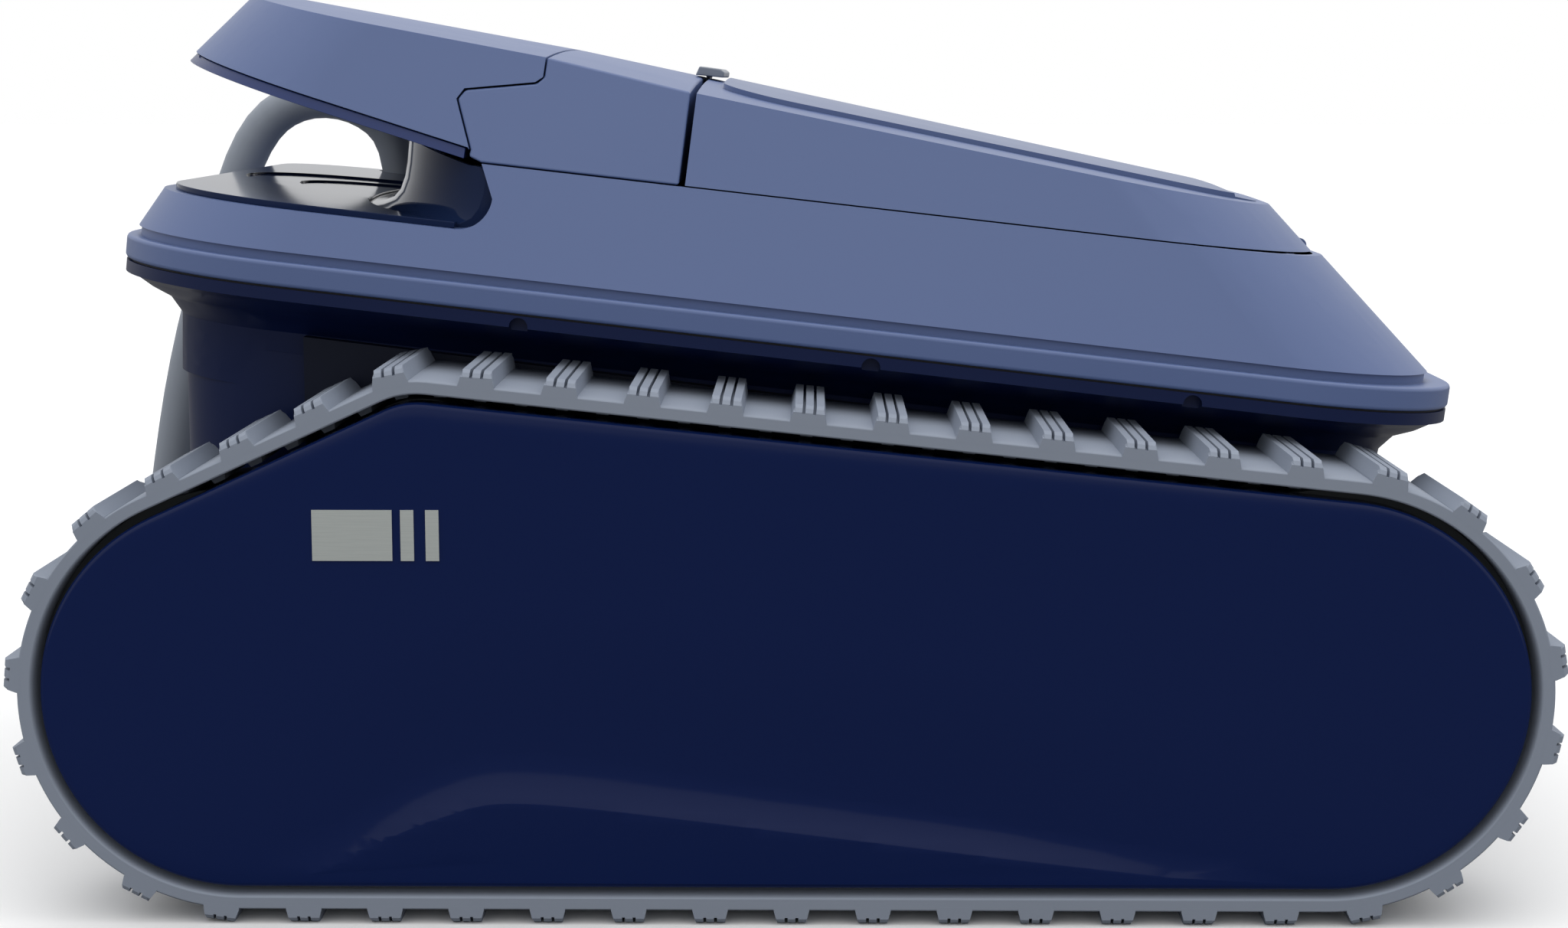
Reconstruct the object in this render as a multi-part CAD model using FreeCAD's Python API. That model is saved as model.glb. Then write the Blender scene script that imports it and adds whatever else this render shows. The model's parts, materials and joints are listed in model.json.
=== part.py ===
"""Tracked pool cleaner. Writes one STEP file per separate piece, in millimetres.

Frame: origin at the bottom centre of the cleaner, +X to the nose, +Y to its left, +Z up.
The upper body leans nose-down by TILT; its pieces are drawn level and then turned by tilt().
"""
import FreeCAD
import Part
import math
import os

V = FreeCAD.Vector

# ------------------------------------------------------------------ driving dimensions (mm)
TILT, PIVOT_Z = 6.5, 177.6          # lean of the upper body, and the height it turns about
BELT_SIDE, BELT_WIDTH = 185.0, 60.0  # outer face of each belt from the middle, and belt width
WHEEL_X, WHEEL_Z, WHEEL_R = 165.0, 70.9, 62.2    # wheel centres; inner radius of the belt there
ROLLER_X, ROLLER_Z, ROLLER_R = -109.15, 136.9, 25.5  # upper roller, where the belt turns down
BELT_T, LUG_H, LUG_BASE, LUG_TOP = 4.1, 4.6, 10.8, 8.8
LUGS, LUG_PHASE = 43, 2.3           # lugs on each belt, and the first one's place
TOOTH_H, TOOTH_BASE, TOOTH_TIP = 2.2, 5.2, 3.6
TOOTH_Y = (-170.0, -140.0)           # the belt's inner teeth, in a band along its middle
WHEEL_TEETH = 32                     # lug half-pitches round each wheel, which sets the belt's pitch line
COVER_INSET, COVER_FACE = 2.6, 184.5
AXLE_R, FIT = 6.0, 0.08              # stub axles, and the running clearance round them
FRAME_IN, FRAME_OUT = 118.3, 124.0   # side frame, inner and outer face
TUB_X, TUB_HW, TUB_FLOOR, WALL = 199.0, 118.0, 18.0, 3.0
RIM_LOW, RIM_TOP = 169.5, 173.3      # tub rim, in the level frame
FLANGE_LOW, FLANGE_TOP, SHELL_LOW, SEAM = 173.9, 181.4, 184.4, 217.6
LEDGE = 197.0                        # underside of the ledge panel, in the level frame
SIDE_DRAFT = 0.462                   # run per rise of every sloping side
HATCH_X0, BRIDGE_X1 = -36.3, -38.3   # gap between hatch and bridge cover
HINGE = (170.2, 218.6)               # hatch hinge, in the level frame
BRUSH_X, BRUSH_R = 104.0, 22.0
CABLE_R = 8.0
CABLE = [(-157.3, 124.0, 209.0), (-157.3, 124.0, 231.0), (-176.0, 125.0, 246.6), (-200.5, 127.0, 247.5),
         (-219.5, 129.0, 232.0), (-233.5, 130.0, 191.0), (-249.0, 132.0, 139.0), (-259.5, 137.0, 84.0),
         (-268.5, 150.0, 38.0), (-266.0, 173.0, 10.5), (-255.0, 208.0, 8.2), (-232.0, 240.0, 8.4),
         (-203.0, 270.0, 8.2), (-184.0, 310.0, 8.6), (-178.0, 352.0, 9.2)]
COIL_AT, COIL_MID_R, COIL_HALF, COIL_LOW = (-30.0, 372.0), 120.0, 32.0, 1.2
CONNECTOR_Z = 12.2


# ------------------------------------------------------------------ helpers
def box(x0, x1, y0, y1, z0, z1):
    """Box between two corners."""
    return Part.makeBox(x1 - x0, y1 - y0, z1 - z0, V(x0, y0, z0))


def rod(r, x, z, y0, y1):
    """Cylinder along Y."""
    return Part.makeCylinder(r, y1 - y0, V(x, y0, z), V(0, 1, 0))


def post(r, x, y, z0, z1):
    """Cylinder along Z."""
    return Part.makeCylinder(r, z1 - z0, V(x, y, z0), V(0, 0, 1))


def union(first, *rest):
    """Fuse and clean."""
    return first.fuse(list(rest)).removeSplitter() if rest else first


def tilt(shape):
    """Turn a piece drawn level into the lean of the upper body."""
    shape = shape.copy()
    shape.rotate(V(0, 0, PIVOT_Z), V(0, 1, 0), TILT)
    return shape


def tilted_point(x, z):
    """A level point (x, z) in the cleaner's frame."""
    a = math.radians(TILT)
    return (x * math.cos(a) + (z - PIVOT_Z) * math.sin(a), PIVOT_Z - x * math.sin(a) + (z - PIVOT_Z) * math.cos(a))


def mirror(shape):
    """The same piece on the far side."""
    return shape.mirror(V(0, 0, 0), V(0, 1, 0))


def round_rect(x0, x1, hw, r, z):
    """Closed rounded rectangle, hw to each side, at height z."""
    k = r * (1 - math.sqrt(0.5))
    a, b, c, d = V(x0, -hw + r, z), V(x0 + r, -hw, z), V(x1 - r, -hw, z), V(x1, -hw + r, z)
    e, f, g, h = V(x1, hw - r, z), V(x1 - r, hw, z), V(x0 + r, hw, z), V(x0, hw - r, z)
    edges = [Part.Arc(a, V(x0 + k, -hw + k, z), b).toShape(), Part.LineSegment(b, c).toShape(),
             Part.Arc(c, V(x1 - k, -hw + k, z), d).toShape(), Part.LineSegment(d, e).toShape(),
             Part.Arc(e, V(x1 - k, hw - k, z), f).toShape(), Part.LineSegment(f, g).toShape(),
             Part.Arc(g, V(x0 + k, hw - k, z), h).toShape(), Part.LineSegment(h, a).toShape()]
    return Part.Wire(edges)


def stack(*levels):
    """Solid through rounded rectangles (x0, x1, hw, r, z), straight between them."""
    return Part.makeLoft([round_rect(*lv) for lv in levels], True, True)


def slab(x0, x1, hw, r, z0, z1):
    """Upright rounded slab."""
    return Part.Face(round_rect(x0, x1, hw, r, z0)).extrude(V(0, 0, z1 - z0))


def side_prism(points, y0, y1):
    """Prism along Y on a polygon of (x, z)."""
    pts = [V(x, y0, z) for x, z in points]
    return Part.Face(Part.makePolygon(pts + pts[:1])).extrude(V(0, y1 - y0, 0))


def eased(shape, radius, pick):
    """Round the edges that pick(edge) accepts."""
    edges = [e for e in shape.Edges if pick(e)]
    return shape.makeFillet(radius, edges) if edges else shape


# ------------------------------------------------------------------ belt path
def tangent_angle(ca, ra, cb, rb):
    """Direction of the outward normal of the outer tangent from circle a to circle b."""
    dx, dz = ca[0] - cb[0], ca[1] - cb[1]
    return math.atan2(dz, dx) + math.acos((rb - ra) / math.hypot(dx, dz))


class BeltPath:
    """The belt's closed line, anticlockwise from the middle of the bottom run, at any outward offset."""

    def __init__(self):
        front, roller, rear = (WHEEL_X, WHEEL_Z), (ROLLER_X, ROLLER_Z), (-WHEEL_X, WHEEL_Z)
        top = tangent_angle(front, WHEEL_R, roller, ROLLER_R)
        ramp = tangent_angle(roller, ROLLER_R, rear, WHEEL_R)
        self.arcs = [(front, WHEEL_R, -math.pi / 2, top), (roller, ROLLER_R, top, ramp),
                     (rear, WHEEL_R, ramp, 1.5 * math.pi)]
        inner = self.length(0.0)
        share = WHEEL_TEETH / (2.0 * LUGS)
        self.pitch_off = (inner * share / (2 * math.pi) - WHEEL_R) / (1 - share)
        self.total = self.length(self.pitch_off)
        self.lug_pitch = self.total / LUGS
        self.marks = self.spans(self.pitch_off)

    def on_arc(self, arc, angle, off):
        """Point on an arc of the line."""
        (cx, cz), r = arc[0], arc[1] + off
        return (cx + r * math.cos(angle), cz + r * math.sin(angle))

    def spans(self, off):
        """Every straight and arc as (length, kind, data)."""
        out, at = [], (0.0, WHEEL_Z - WHEEL_R - off)
        for arc in self.arcs:
            start = self.on_arc(arc, arc[2], off)
            out.append((math.dist(at, start), "line", (at, start)))
            out.append(((arc[1] + off) * (arc[3] - arc[2]), "arc", arc))
            at = self.on_arc(arc, arc[3], off)
        end = (0.0, WHEEL_Z - WHEEL_R - off)
        out.append((math.dist(at, end), "line", (at, end)))
        return out

    def length(self, off):
        """Length of the whole line at an offset."""
        return sum(s[0] for s in self.spans(off))

    def locate(self, s):
        """Span index and share of it, for a place s along the pitch line."""
        s %= self.total
        for i, (length, _, _) in enumerate(self.marks):
            if s <= length or i == len(self.marks) - 1:
                return i, min(s / length, 1.0)
            s -= length

    def at(self, s, off):
        """Point and outward normal at place s, moved out by off from the inner line."""
        i, share = self.locate(s)
        _, kind, data = self.spans(off)[i]
        if kind == "line":
            (x0, z0), (x1, z1) = data
            length = math.dist(data[0], data[1])
            return (x0 + (x1 - x0) * share, z0 + (z1 - z0) * share), ((z1 - z0) / length, -(x1 - x0) / length)
        angle = data[2] + (data[3] - data[2]) * share
        return self.on_arc(data, angle, off), (math.cos(angle), math.sin(angle))

    def edges(self, s0, s1, off):
        """Edges that follow the line from s0 to s1 (s1 > s0)."""
        ends, run = [], 0.0
        for lap in (0.0, self.total):
            run = lap
            for length, _, _ in self.marks:
                run += length
                if s0 + 1e-6 < run < s1 - 1e-6:
                    ends.append(run)
        stops, out = [s0] + ends + [s1], []
        for a, b in zip(stops, stops[1:]):
            p, m, q = (self.at(s, off)[0] for s in (a + 1e-9, (a + b) / 2, b - 1e-9))
            pv, mv, qv = (V(x, 0, z) for x, z in (p, m, q))
            bent = (mv - (pv + qv) * 0.5).Length > 1e-4
            out.append(Part.Arc(pv, mv, qv).toShape() if bent else Part.LineSegment(pv, qv).toShape())
        return out

    def outline(self, count, phase, off, half, shape):
        """Closed wire at an offset with a toothed shape [(along, out)] at each of count places."""
        pitch, edges = self.total / count, []
        for i in range(count):
            s = (phase + i * pitch) % self.total
            if s - half < 0:
                s += self.total
            (x, z), (nx, nz) = self.at(s, off)
            first, last = self.at(s - half, off)[0], self.at(s + half, off)[0]
            pts = [first] + [(x - nz * a + nx * o, z + nx * a + nz * o) for a, o in shape] + [last]
            pts = [V(a, 0, b) for a, b in pts]
            edges += [Part.LineSegment(a, b).toShape() for a, b in zip(pts, pts[1:])]
            edges += self.edges(s + half, s + pitch - half, off)
        return Part.Wire(Part.__sortEdges__(edges))


PATH = BeltPath()


# ------------------------------------------------------------------ tracks (near side, -Y)
def track_belt():
    """Belt with grooved lugs outside and drive teeth inside."""
    h, t, rib, groove = LUG_H, LUG_TOP / 2, (LUG_TOP - 1.8) / 3, 0.9
    lug = [(-t, h), (-t + rib, h), (-t + rib, h - 2.3), (-t + rib + groove, h - 2.3), (-t + rib + groove, h)]
    lug += [(-a, o) for a, o in reversed(lug)]
    tooth = [(-TOOTH_TIP / 2, -TOOTH_H), (TOOTH_TIP / 2, -TOOTH_H)]
    outer = Part.Face(PATH.outline(LUGS, LUG_PHASE, BELT_T, LUG_BASE / 2, lug))
    inner = Part.Face(PATH.outline(2 * LUGS, LUG_PHASE, 0.0, TOOTH_BASE / 2, tooth))
    made = []
    for hole, y0, y1 in ((Part.Face(cover_outline(0.0)), -BELT_SIDE, TOOTH_Y[0]), (inner, *TOOTH_Y),
                         (Part.Face(cover_outline(0.0)), TOOTH_Y[1], BELT_WIDTH - BELT_SIDE)):
        face = outer.cut(hole)
        face.translate(V(0, y0, 0))
        made.append(face.extrude(V(0, y1 - y0, 0)))
    return union(*made).cut(box(-250.0, 250.0, -BELT_SIDE - 1, -BELT_SIDE + BELT_WIDTH + 1, -3.0, 0.0))   # lug corners worn level


def toothed_disc(teeth, r_tip, r_root, gap_tip, gap_root, phase, y0, y1, x, z):
    """Disc along Y with gaps, one of them centred on the phase angle."""
    pts = []
    for i in range(teeth):
        a = phase + 2 * math.pi * i / teeth
        for r, w in ((r_tip, -gap_tip), (r_root, -gap_root), (r_root, gap_root), (r_tip, gap_tip)):
            b = a + w / 2 / r
            pts.append((x + r * math.cos(b), z + r * math.sin(b)))
    return side_prism(pts, y0, y1)


def track_wheel(x, bore):
    """Wheel with two smooth rims, a channel between them for the belt's teeth, a plain web, and a hub."""
    y0, y1 = -174.0, -128.0
    rim, bed = WHEEL_R - 0.35, WHEEL_R - TOOTH_H - 0.5
    wheel = rod(rim, x, WHEEL_Z, y0, y1)
    channel = rod(rim + 1, x, WHEEL_Z, TOOTH_Y[0] - 1.0, TOOTH_Y[1] + 1.0)
    wheel = wheel.cut(channel.cut(rod(bed, x, WHEEL_Z, TOOTH_Y[0] - 1.0, TOOTH_Y[1] + 1.0)))
    wheel = wheel.cut(rod(54.5, x, WHEEL_Z, y0, -154.0)).cut(rod(54.5, x, WHEEL_Z, -148.0, y1))
    wheel = union(wheel, rod(14.0, x, WHEEL_Z, -168.0, -130.0))
    return wheel.cut(rod(bore, x, WHEEL_Z, y0 - 1, y1 + 1))


def plain_roller(x, z, r):
    """Plain roller with two shallow grooves and a bore."""
    roller = rod(r, x, z, -174.0, -130.0)
    for y in (-160.0, -146.0):
        roller = roller.cut(rod(r + 1, x, z, y, y + 3).cut(rod(r - 1.2, x, z, y, y + 3)))
    return roller.cut(rod(AXLE_R + FIT, x, z, -175, -129))


SUPPORT_X = (-44.0, 44.0)
SUPPORT_R, SUPPORT_Z = 18.0, WHEEL_Z - WHEEL_R + TOOTH_H + 0.35 + 18.0
UPPER_R = ROLLER_R - TOOTH_H - 0.35


def side_frame():
    """Flat frame between tub and belt that carries the axles."""
    x0, z0 = tilted_point(-152.0, 156.4)
    x1, z1 = tilted_point(150.0, 154.0)
    plate = side_prism([(x0, 30.0), (-140.0, 14.0), (140.0, 14.0), (190.0, 50.0), (190.0, 100.0),
                        (x1, z1), (x0, z0)], -FRAME_OUT, -FRAME_IN)
    plate = union(plate, box(-196, -150, -FRAME_OUT, -FRAME_IN, 45, 100))
    for x in (-WHEEL_X, WHEEL_X):
        plate = union(plate, rod(17.0, x, WHEEL_Z, -127.5, -FRAME_IN))
    for x in (-BRUSH_X, BRUSH_X):
        plate = plate.cut(rod(AXLE_R + FIT, x, brush_z(), -130, -110))
    return plate.cut(rod(AXLE_R + 2 + FIT, -WHEEL_X, WHEEL_Z, -130, -110))


def axle_set():
    """Stub axles for front wheel, upper roller, and support rollers, with end caps."""
    made = []
    for x, z, y in [(WHEEL_X, WHEEL_Z, -127.5), (ROLLER_X, ROLLER_Z, -FRAME_OUT)] + [
            (sx, SUPPORT_Z, -FRAME_OUT) for sx in SUPPORT_X]:
        pin = union(rod(AXLE_R, x, z, -176.5, y), rod(AXLE_R + 3, x, z, -176.5, -174.6))
        made.append(pin)
    return Part.makeCompound(made)


def cover_outline(inset):
    """Closed outline of the side cover."""
    edges = []
    for _, kind, data in PATH.spans(-inset):
        if kind == "line":
            edges.append(Part.LineSegment(V(data[0][0], 0, data[0][1]), V(data[1][0], 0, data[1][1])).toShape())
        else:
            a = [PATH.on_arc(data, data[2] + (data[3] - data[2]) * k, -inset) for k in (0, 0.5, 1)]
            edges.append(Part.Arc(*[V(x, 0, z) for x, z in a]).toShape())
    return Part.Wire(Part.__sortEdges__(edges))


def cover_prism(inset, y0, y1):
    """Slab on the cover's outline."""
    face = Part.Face(cover_outline(inset))
    face.translate(V(0, y0, 0))
    return face.extrude(V(0, y1 - y0, 0))


def side_cover():
    """Cover with a rounded edge, a low moulded crease, a rim wall, and three posts to the frame."""
    plate = cover_prism(COVER_INSET, -COVER_FACE, -176.2)
    plate = eased(plate, 1.6, lambda e: abs(e.BoundBox.YMin + COVER_FACE) < 1e-3
                  and abs(e.BoundBox.YMax + COVER_FACE) < 1e-3)
    plate = plate.cut(cover_prism(COVER_INSET + 3.0, -181.3, -170.0))
    low = [(-156, 11.9), (-137.7, 17.7), (-116.2, 28.6), (-94.9, 36.4), (-85.8, 37.9), (-67.7, 37.3), (-25.5, 32.6),
           (141.4, 12.2)]
    high = [(-172, 25.4), (-146, 27.5), (-123, 39.5), (-103.8, 48.8), (-91.6, 52.8), (-67.5, 52.6), (-22, 45.5),
            (126, 22.3)]
    rise = [0.2, 0.7, 1.1, 1.2, 1.2, 1.2, 1.1, 0.2]
    rib = []
    for (lx, lz), (hx, hz), r in zip(low, high, rise):
        y = -COVER_FACE
        rib.append(Part.makePolygon([V(hx, y + 0.6, hz), V(lx, y + 0.6, lz), V(lx, y - r, lz), V(hx, y, hz),
                                     V(hx, y + 0.6, hz)]))
    plate = union(plate, Part.makeLoft(rib, True, True))
    for x, z in ((-72.0, 98.0), (6.0, 96.0), (82.0, 84.0)):
        plate = union(plate, rod(5.5, x, z, -181.5, -FRAME_OUT))
    for x, z in [(WHEEL_X, WHEEL_Z), (-WHEEL_X, WHEEL_Z), (ROLLER_X, ROLLER_Z)]:
        plate = union(plate, rod(11.0, x, z, -182.0, -177.0))
    return plate


def cover_badge():
    """Plain brushed trim: one wide block and two narrow ones."""
    y0 = -COVER_FACE - 0.5
    low, high = 112.3, 127.7
    bar = box(-141.0, -117.0, y0, y0 + 0.5, low, high)
    return Part.makeCompound([bar, box(-114.5, -110.5, y0, y0 + 0.5, low, high),
                              box(-107.0, -103.0, y0, y0 + 0.5, low, high)])


def drive_shaft():
    """Rear wheel's shaft with its gear inside the motor box."""
    y_out = -176.2
    shaft = union(rod(AXLE_R + 2, -WHEEL_X, WHEEL_Z, y_out, -88.0), rod(AXLE_R + 4, -WHEEL_X, WHEEL_Z, y_out, -174.4))
    return union(shaft, gear(32, -WHEEL_X, WHEEL_Z, -100.0, -92.0, math.pi / 32))


def gear(teeth, x, z, y0, y1, phase):
    """Simple spur gear of module 1."""
    r = teeth / 2.0
    return toothed_disc(teeth, r + 0.8, r - 1.2, 2.3, 1.35, phase, y0, y1, x, z)


MOTOR_X = -WHEEL_X + 24.45


def drive_motor():
    """Motor can and gearbox face."""
    return union(rod(15.5, MOTOR_X, WHEEL_Z, -84.0, -36.0), rod(9.0, MOTOR_X, WHEEL_Z, -36.0, -31.0))


def motor_pinion():
    """Pinion and its shaft."""
    return union(gear(16, MOTOR_X, WHEEL_Z, -100.0, -92.0, math.pi), rod(2.5, MOTOR_X, WHEEL_Z, -104.0, -84.4))


# ------------------------------------------------------------------ brushes
DRIVE_GAP = 0.34
DRIVE_R = (WHEEL_R + PATH.pitch_off) / 4 - PATH.pitch_off - DRIVE_GAP   # a quarter of the wheel, at the pitch line


def brush_z():
    """Height of the brush axis: its drive wheel rides on the belt's lower run."""
    return WHEEL_Z - WHEEL_R + DRIVE_R + DRIVE_GAP


def brush_core(x):
    """Tube with end shafts and, at its near end, a ribbed wheel that the belt's smooth inner edge turns."""
    z = brush_z()
    core = union(rod(12.0, x, z, -108.0, 108.0), rod(AXLE_R, x, z, -140.0, 123.5))
    wheel = rod(DRIVE_R, x, z, -138.0, -128.5)
    for y in (-135.6, -132.4):
        wheel = wheel.cut(rod(DRIVE_R + 1, x, z, y, y + 1.2).cut(rod(DRIVE_R - 0.8, x, z, y, y + 1.2)))
    return union(core, wheel)


def brush_sleeve(x):
    """Sleeve with twelve soft fins."""
    z, y0, y1 = brush_z(), -107.0, 107.0
    pts = []
    for i in range(12):
        a = 2 * math.pi * i / 12
        for r, w in ((14.5, -3.2), (BRUSH_R, -1.0), (BRUSH_R, 1.0), (14.5, 3.2)):
            b = a + w / 2 / r
            pts.append((x + r * math.cos(b), z + r * math.sin(b)))
    return side_prism(pts, y0, y1).cut(rod(12.0, x, z, y0, y1))


# ------------------------------------------------------------------ lower body
def tub():
    """Lower tub: upright walls, flared neck, rim with half-round notches, brush bays, and floor slot."""
    levels = [(-197.5, 198.5, 117.2, 34.0, 138.0), (-199.0, 200.0, 118.2, 35.0, 156.6),
              (-203.0, 204.0, 123.9, 39.0, 162.0), (-208.5, 210.0, 134.5, 46.0, 165.2),
              (-214.5, 215.8, 147.5, 57.0, RIM_LOW)]
    neck = tilt(stack(*levels))
    rim = tilt(slab(-216.3, 217.6, 149.2, 59.0, RIM_LOW, RIM_TOP))
    body = slab(-TUB_X, TUB_X, TUB_HW, 35.0, TUB_FLOOR, 190.0)
    lid = tilt(box(-260, 260, -200, 200, 150.0, 320.0))
    outer = union(body.cut(lid), neck, rim)
    inner = tilt(stack(*[(a + WALL, b - WALL, c - WALL, d - WALL, e) for a, b, c, d, e in levels[:-1]],
                       (-208.0, 209.0, 141.0, 52.0, RIM_LOW + 1.0), (-208.0, 209.0, 141.0, 52.0, RIM_TOP + 1)))
    room = slab(-TUB_X + WALL, TUB_X - WALL, TUB_HW - WALL, 32.0, TUB_FLOOR + WALL, 190.0).cut(lid)
    shape = outer.cut(union(room, inner))
    z = brush_z()
    for x in (-BRUSH_X, BRUSH_X):
        hump = rod(28.0, x, z, -TUB_HW, TUB_HW).common(box(-TUB_X, TUB_X, -TUB_HW, TUB_HW, TUB_FLOOR, 90))
        shape = union(shape, hump).cut(rod(25.5, x, z, -109.5, 109.5)).cut(rod(AXLE_R + FIT, x, z, -130, 130))
    shape = shape.cut(box(18, 62, -76, 76, 0, 30))
    shape = shape.cut(rod(AXLE_R + 2 + FIT, -WHEEL_X, WHEEL_Z, -130, 130))
    for x in (-82.0, 27.5, 127.5):
        for y in (-152.0, 144.0):
            notch = Part.makeCylinder(2.9, 8.0, V(x, y, RIM_LOW + 0.3), V(0, 1, 0))
            shape = shape.cut(tilt(notch))
    return shape


def flange_seal():
    """Seal between tub rim and shell flange."""
    outer = slab(-215.0, 216.3, 148.0, 58.0, RIM_TOP, FLANGE_LOW)
    return tilt(outer.cut(slab(-209.5, 210.5, 142.5, 53.0, RIM_TOP - 1, FLANGE_LOW + 1)))


def bottom_plate():
    """Plate under the floor with the intake slot and a chamfered lip."""
    plate = slab(-64.0, 72.0, 104.0, 8.0, TUB_FLOOR - 3.0, TUB_FLOOR)
    plate = eased(plate, 1.2, lambda e: abs(e.BoundBox.ZMax - TUB_FLOOR + 3.0) < 1e-3)
    return plate.cut(box(18, 62, -76, 76, 0, 30))


def bottom_screws():
    """Eight pan-head screws through the bottom plate."""
    made = []
    for x in (-58.0, 66.0):
        for y in (-94.0, -34.0, 34.0, 94.0):
            head = post(3.4, x, y, TUB_FLOOR - 4.8, TUB_FLOOR - 3.0)
            made.append(head.cut(box(x - 2.2, x + 2.2, y - 0.4, y + 0.4, 0, TUB_FLOOR - 4.0)))
    return Part.makeCompound(made)


def intake_duct():
    """Upright throat from the floor slot to the basket."""
    outer = box(15.0, 65.0, -79.0, 79.0, TUB_FLOOR + WALL, 56.0)
    return outer.cut(box(18.0, 62.0, -76.0, 76.0, 0, 60)).cut(rod(1.6 + FIT, 20.6, 54.0, -78.0, 78.0))


def intake_flap():
    """One of two flaps that close the throat's top; its pin lies along its rear edge."""
    leaf = box(20.4, 60.8, -75.0, -1.2, 53.2, 54.8)
    return union(leaf, rod(1.6, 20.6, 54.0, -77.6, -1.0))


def basket_frame():
    """Basket frame: floor with throat opening, posts, rim that follows the hatch, and bail handle."""
    x0, x1, hw = -24.0, 160.0, 92.0
    floor = slab(x0, x1, hw, 14.0, 57.0, 60.0).cut(box(14.0, 66.5, -80.0, 80.0, 50, 70))
    shape = floor
    for x in (x0 + 5, 40.0, 100.0, x1 - 9):
        for y in (-hw + 1.0, hw - 5.0):
            shape = union(shape, box(x, x + 4, y, y + 4, 60.0, 178.0))
    for y in (-45.0, 0.0, 45.0):
        for x in (x0, x1 - 4):
            shape = union(shape, box(x, x + 4, y - 2, y + 2, 60.0, 178.0))
    upper = tilt(box(-260, 260, -200, 200, 172.0, 320.0))
    shape = shape.cut(upper)
    ring = slab(x0 - 2, x1 + 2, hw + 2, 16.0, 172.0, 178.0).cut(slab(x0 + 4, x1 - 4, hw - 4, 10.0, 170.0, 180.0))
    bail = box(62.0, 74.0, -hw + 4, hw - 4, 173.0, 176.5)
    return union(shape, tilt(ring), tilt(bail))


def basket_mesh():
    """Fine mesh walls, drawn as thin closed panels between floor and rim."""
    x0, x1, hw = -19.5, 155.5, 87.0
    outer = slab(x0, x1, hw, 10.0, 60.1, 178.0).cut(slab(x0 + 0.8, x1 - 0.8, hw - 0.8, 9.2, 59.0, 180.0))
    return outer.cut(tilt(box(-260, 260, -200, 200, 171.8, 320.0))).cut(basket_frame())


BOX_X0, BOX_X1, BOX_HW, BOX_Z0, BOX_Z1 = -190.0, -42.0, 108.0, 51.8, 150.0


def motor_box():
    """Sealed box for motors and electronics."""
    outer = slab(BOX_X0, BOX_X1, BOX_HW, 22.0, BOX_Z0, BOX_Z1)
    inner = slab(BOX_X0 + 2.0, BOX_X1 - 2.0, BOX_HW - 2.0, 20.0, BOX_Z0 + 1.5, BOX_Z1 + 1)
    return outer.cut(inner).cut(rod(AXLE_R + 2 + FIT, -WHEEL_X, WHEEL_Z, -130, 130))


def motor_box_lid():
    """Lid with a locating edge, the pump shaft's hole, and the impeller's windowed shroud."""
    lid = union(slab(BOX_X0, BOX_X1, BOX_HW, 22.0, BOX_Z1, BOX_Z1 + 3.0),
                slab(BOX_X0 + 2.3, BOX_X1 - 2.3, BOX_HW - 2.3, 20.0, BOX_Z1 - 4.0, BOX_Z1))
    return union(lid, impeller_shroud()).cut(post(3.0 + FIT, PUMP_X, 0, 100, 200))


PUMP_X = -128.0


def pump_motor():
    """Pump motor that stands in the motor box."""
    return union(post(28.0, PUMP_X, 0, BOX_Z0 + 1.5, 132.0), post(12.0, PUMP_X, 0, 132.0, 138.0))


def impeller():
    """Five-bladed impeller on its shaft."""
    shape = union(post(3.0, PUMP_X, 0, 138.4, 162.0), post(9.0, PUMP_X, 0, 156.0, 176.0))
    for i in range(5):
        blade = box(PUMP_X + 7, PUMP_X + 36, -1.2, 1.2, 157.0, 174.0)
        blade.rotate(V(PUMP_X + 7, 0, 165.5), V(1, 0, 0), 38.0)
        blade.rotate(V(PUMP_X, 0, 0), V(0, 0, 1), 72.0 * i)
        shape = union(shape, blade)
    return shape


def impeller_shroud():
    """Ring round the impeller on the box lid."""
    ring = post(43.0, PUMP_X, 0, BOX_Z1 + 3.0, 178.0).cut(post(40.0, PUMP_X, 0, 150.0, 180.0))
    for i in range(6):
        window = box(PUMP_X, PUMP_X + 50, -11, 11, BOX_Z1 + 5.5, 166.0)
        window.rotate(V(PUMP_X, 0, 0), V(0, 0, 1), 60.0 * i)
        ring = ring.cut(window)
    return ring


def control_board():
    """Circuit board with three tall parts, upright in the motor box."""
    board = box(-58.0, -56.4, -70.0, 70.0, 58.0, 138.0)
    for y, z, w in ((-40.0, 90.0, 16.0), (0.0, 110.0, 22.0), (38.0, 84.0, 14.0)):
        board = union(board, box(-64.0, -58.0, y - w, y + w, z - 10, z + 10))
    return board


# ------------------------------------------------------------------ upper body (drawn level)
def shell_levels(cut):
    """Rounded rectangles of the sloping shell, moved in by cut."""
    rise = SEAM - SHELL_LOW
    return [(-213.3 + cut, 210.0 - cut, 147.0 - cut, 57.0 - cut, SHELL_LOW),
            (-213.3 + rise * 0.505 + cut, 210.0 - rise * 1.13 - cut, 147.0 - rise * SIDE_DRAFT - cut,
             57.0 - rise * 0.2 - cut, SEAM)]


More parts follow.
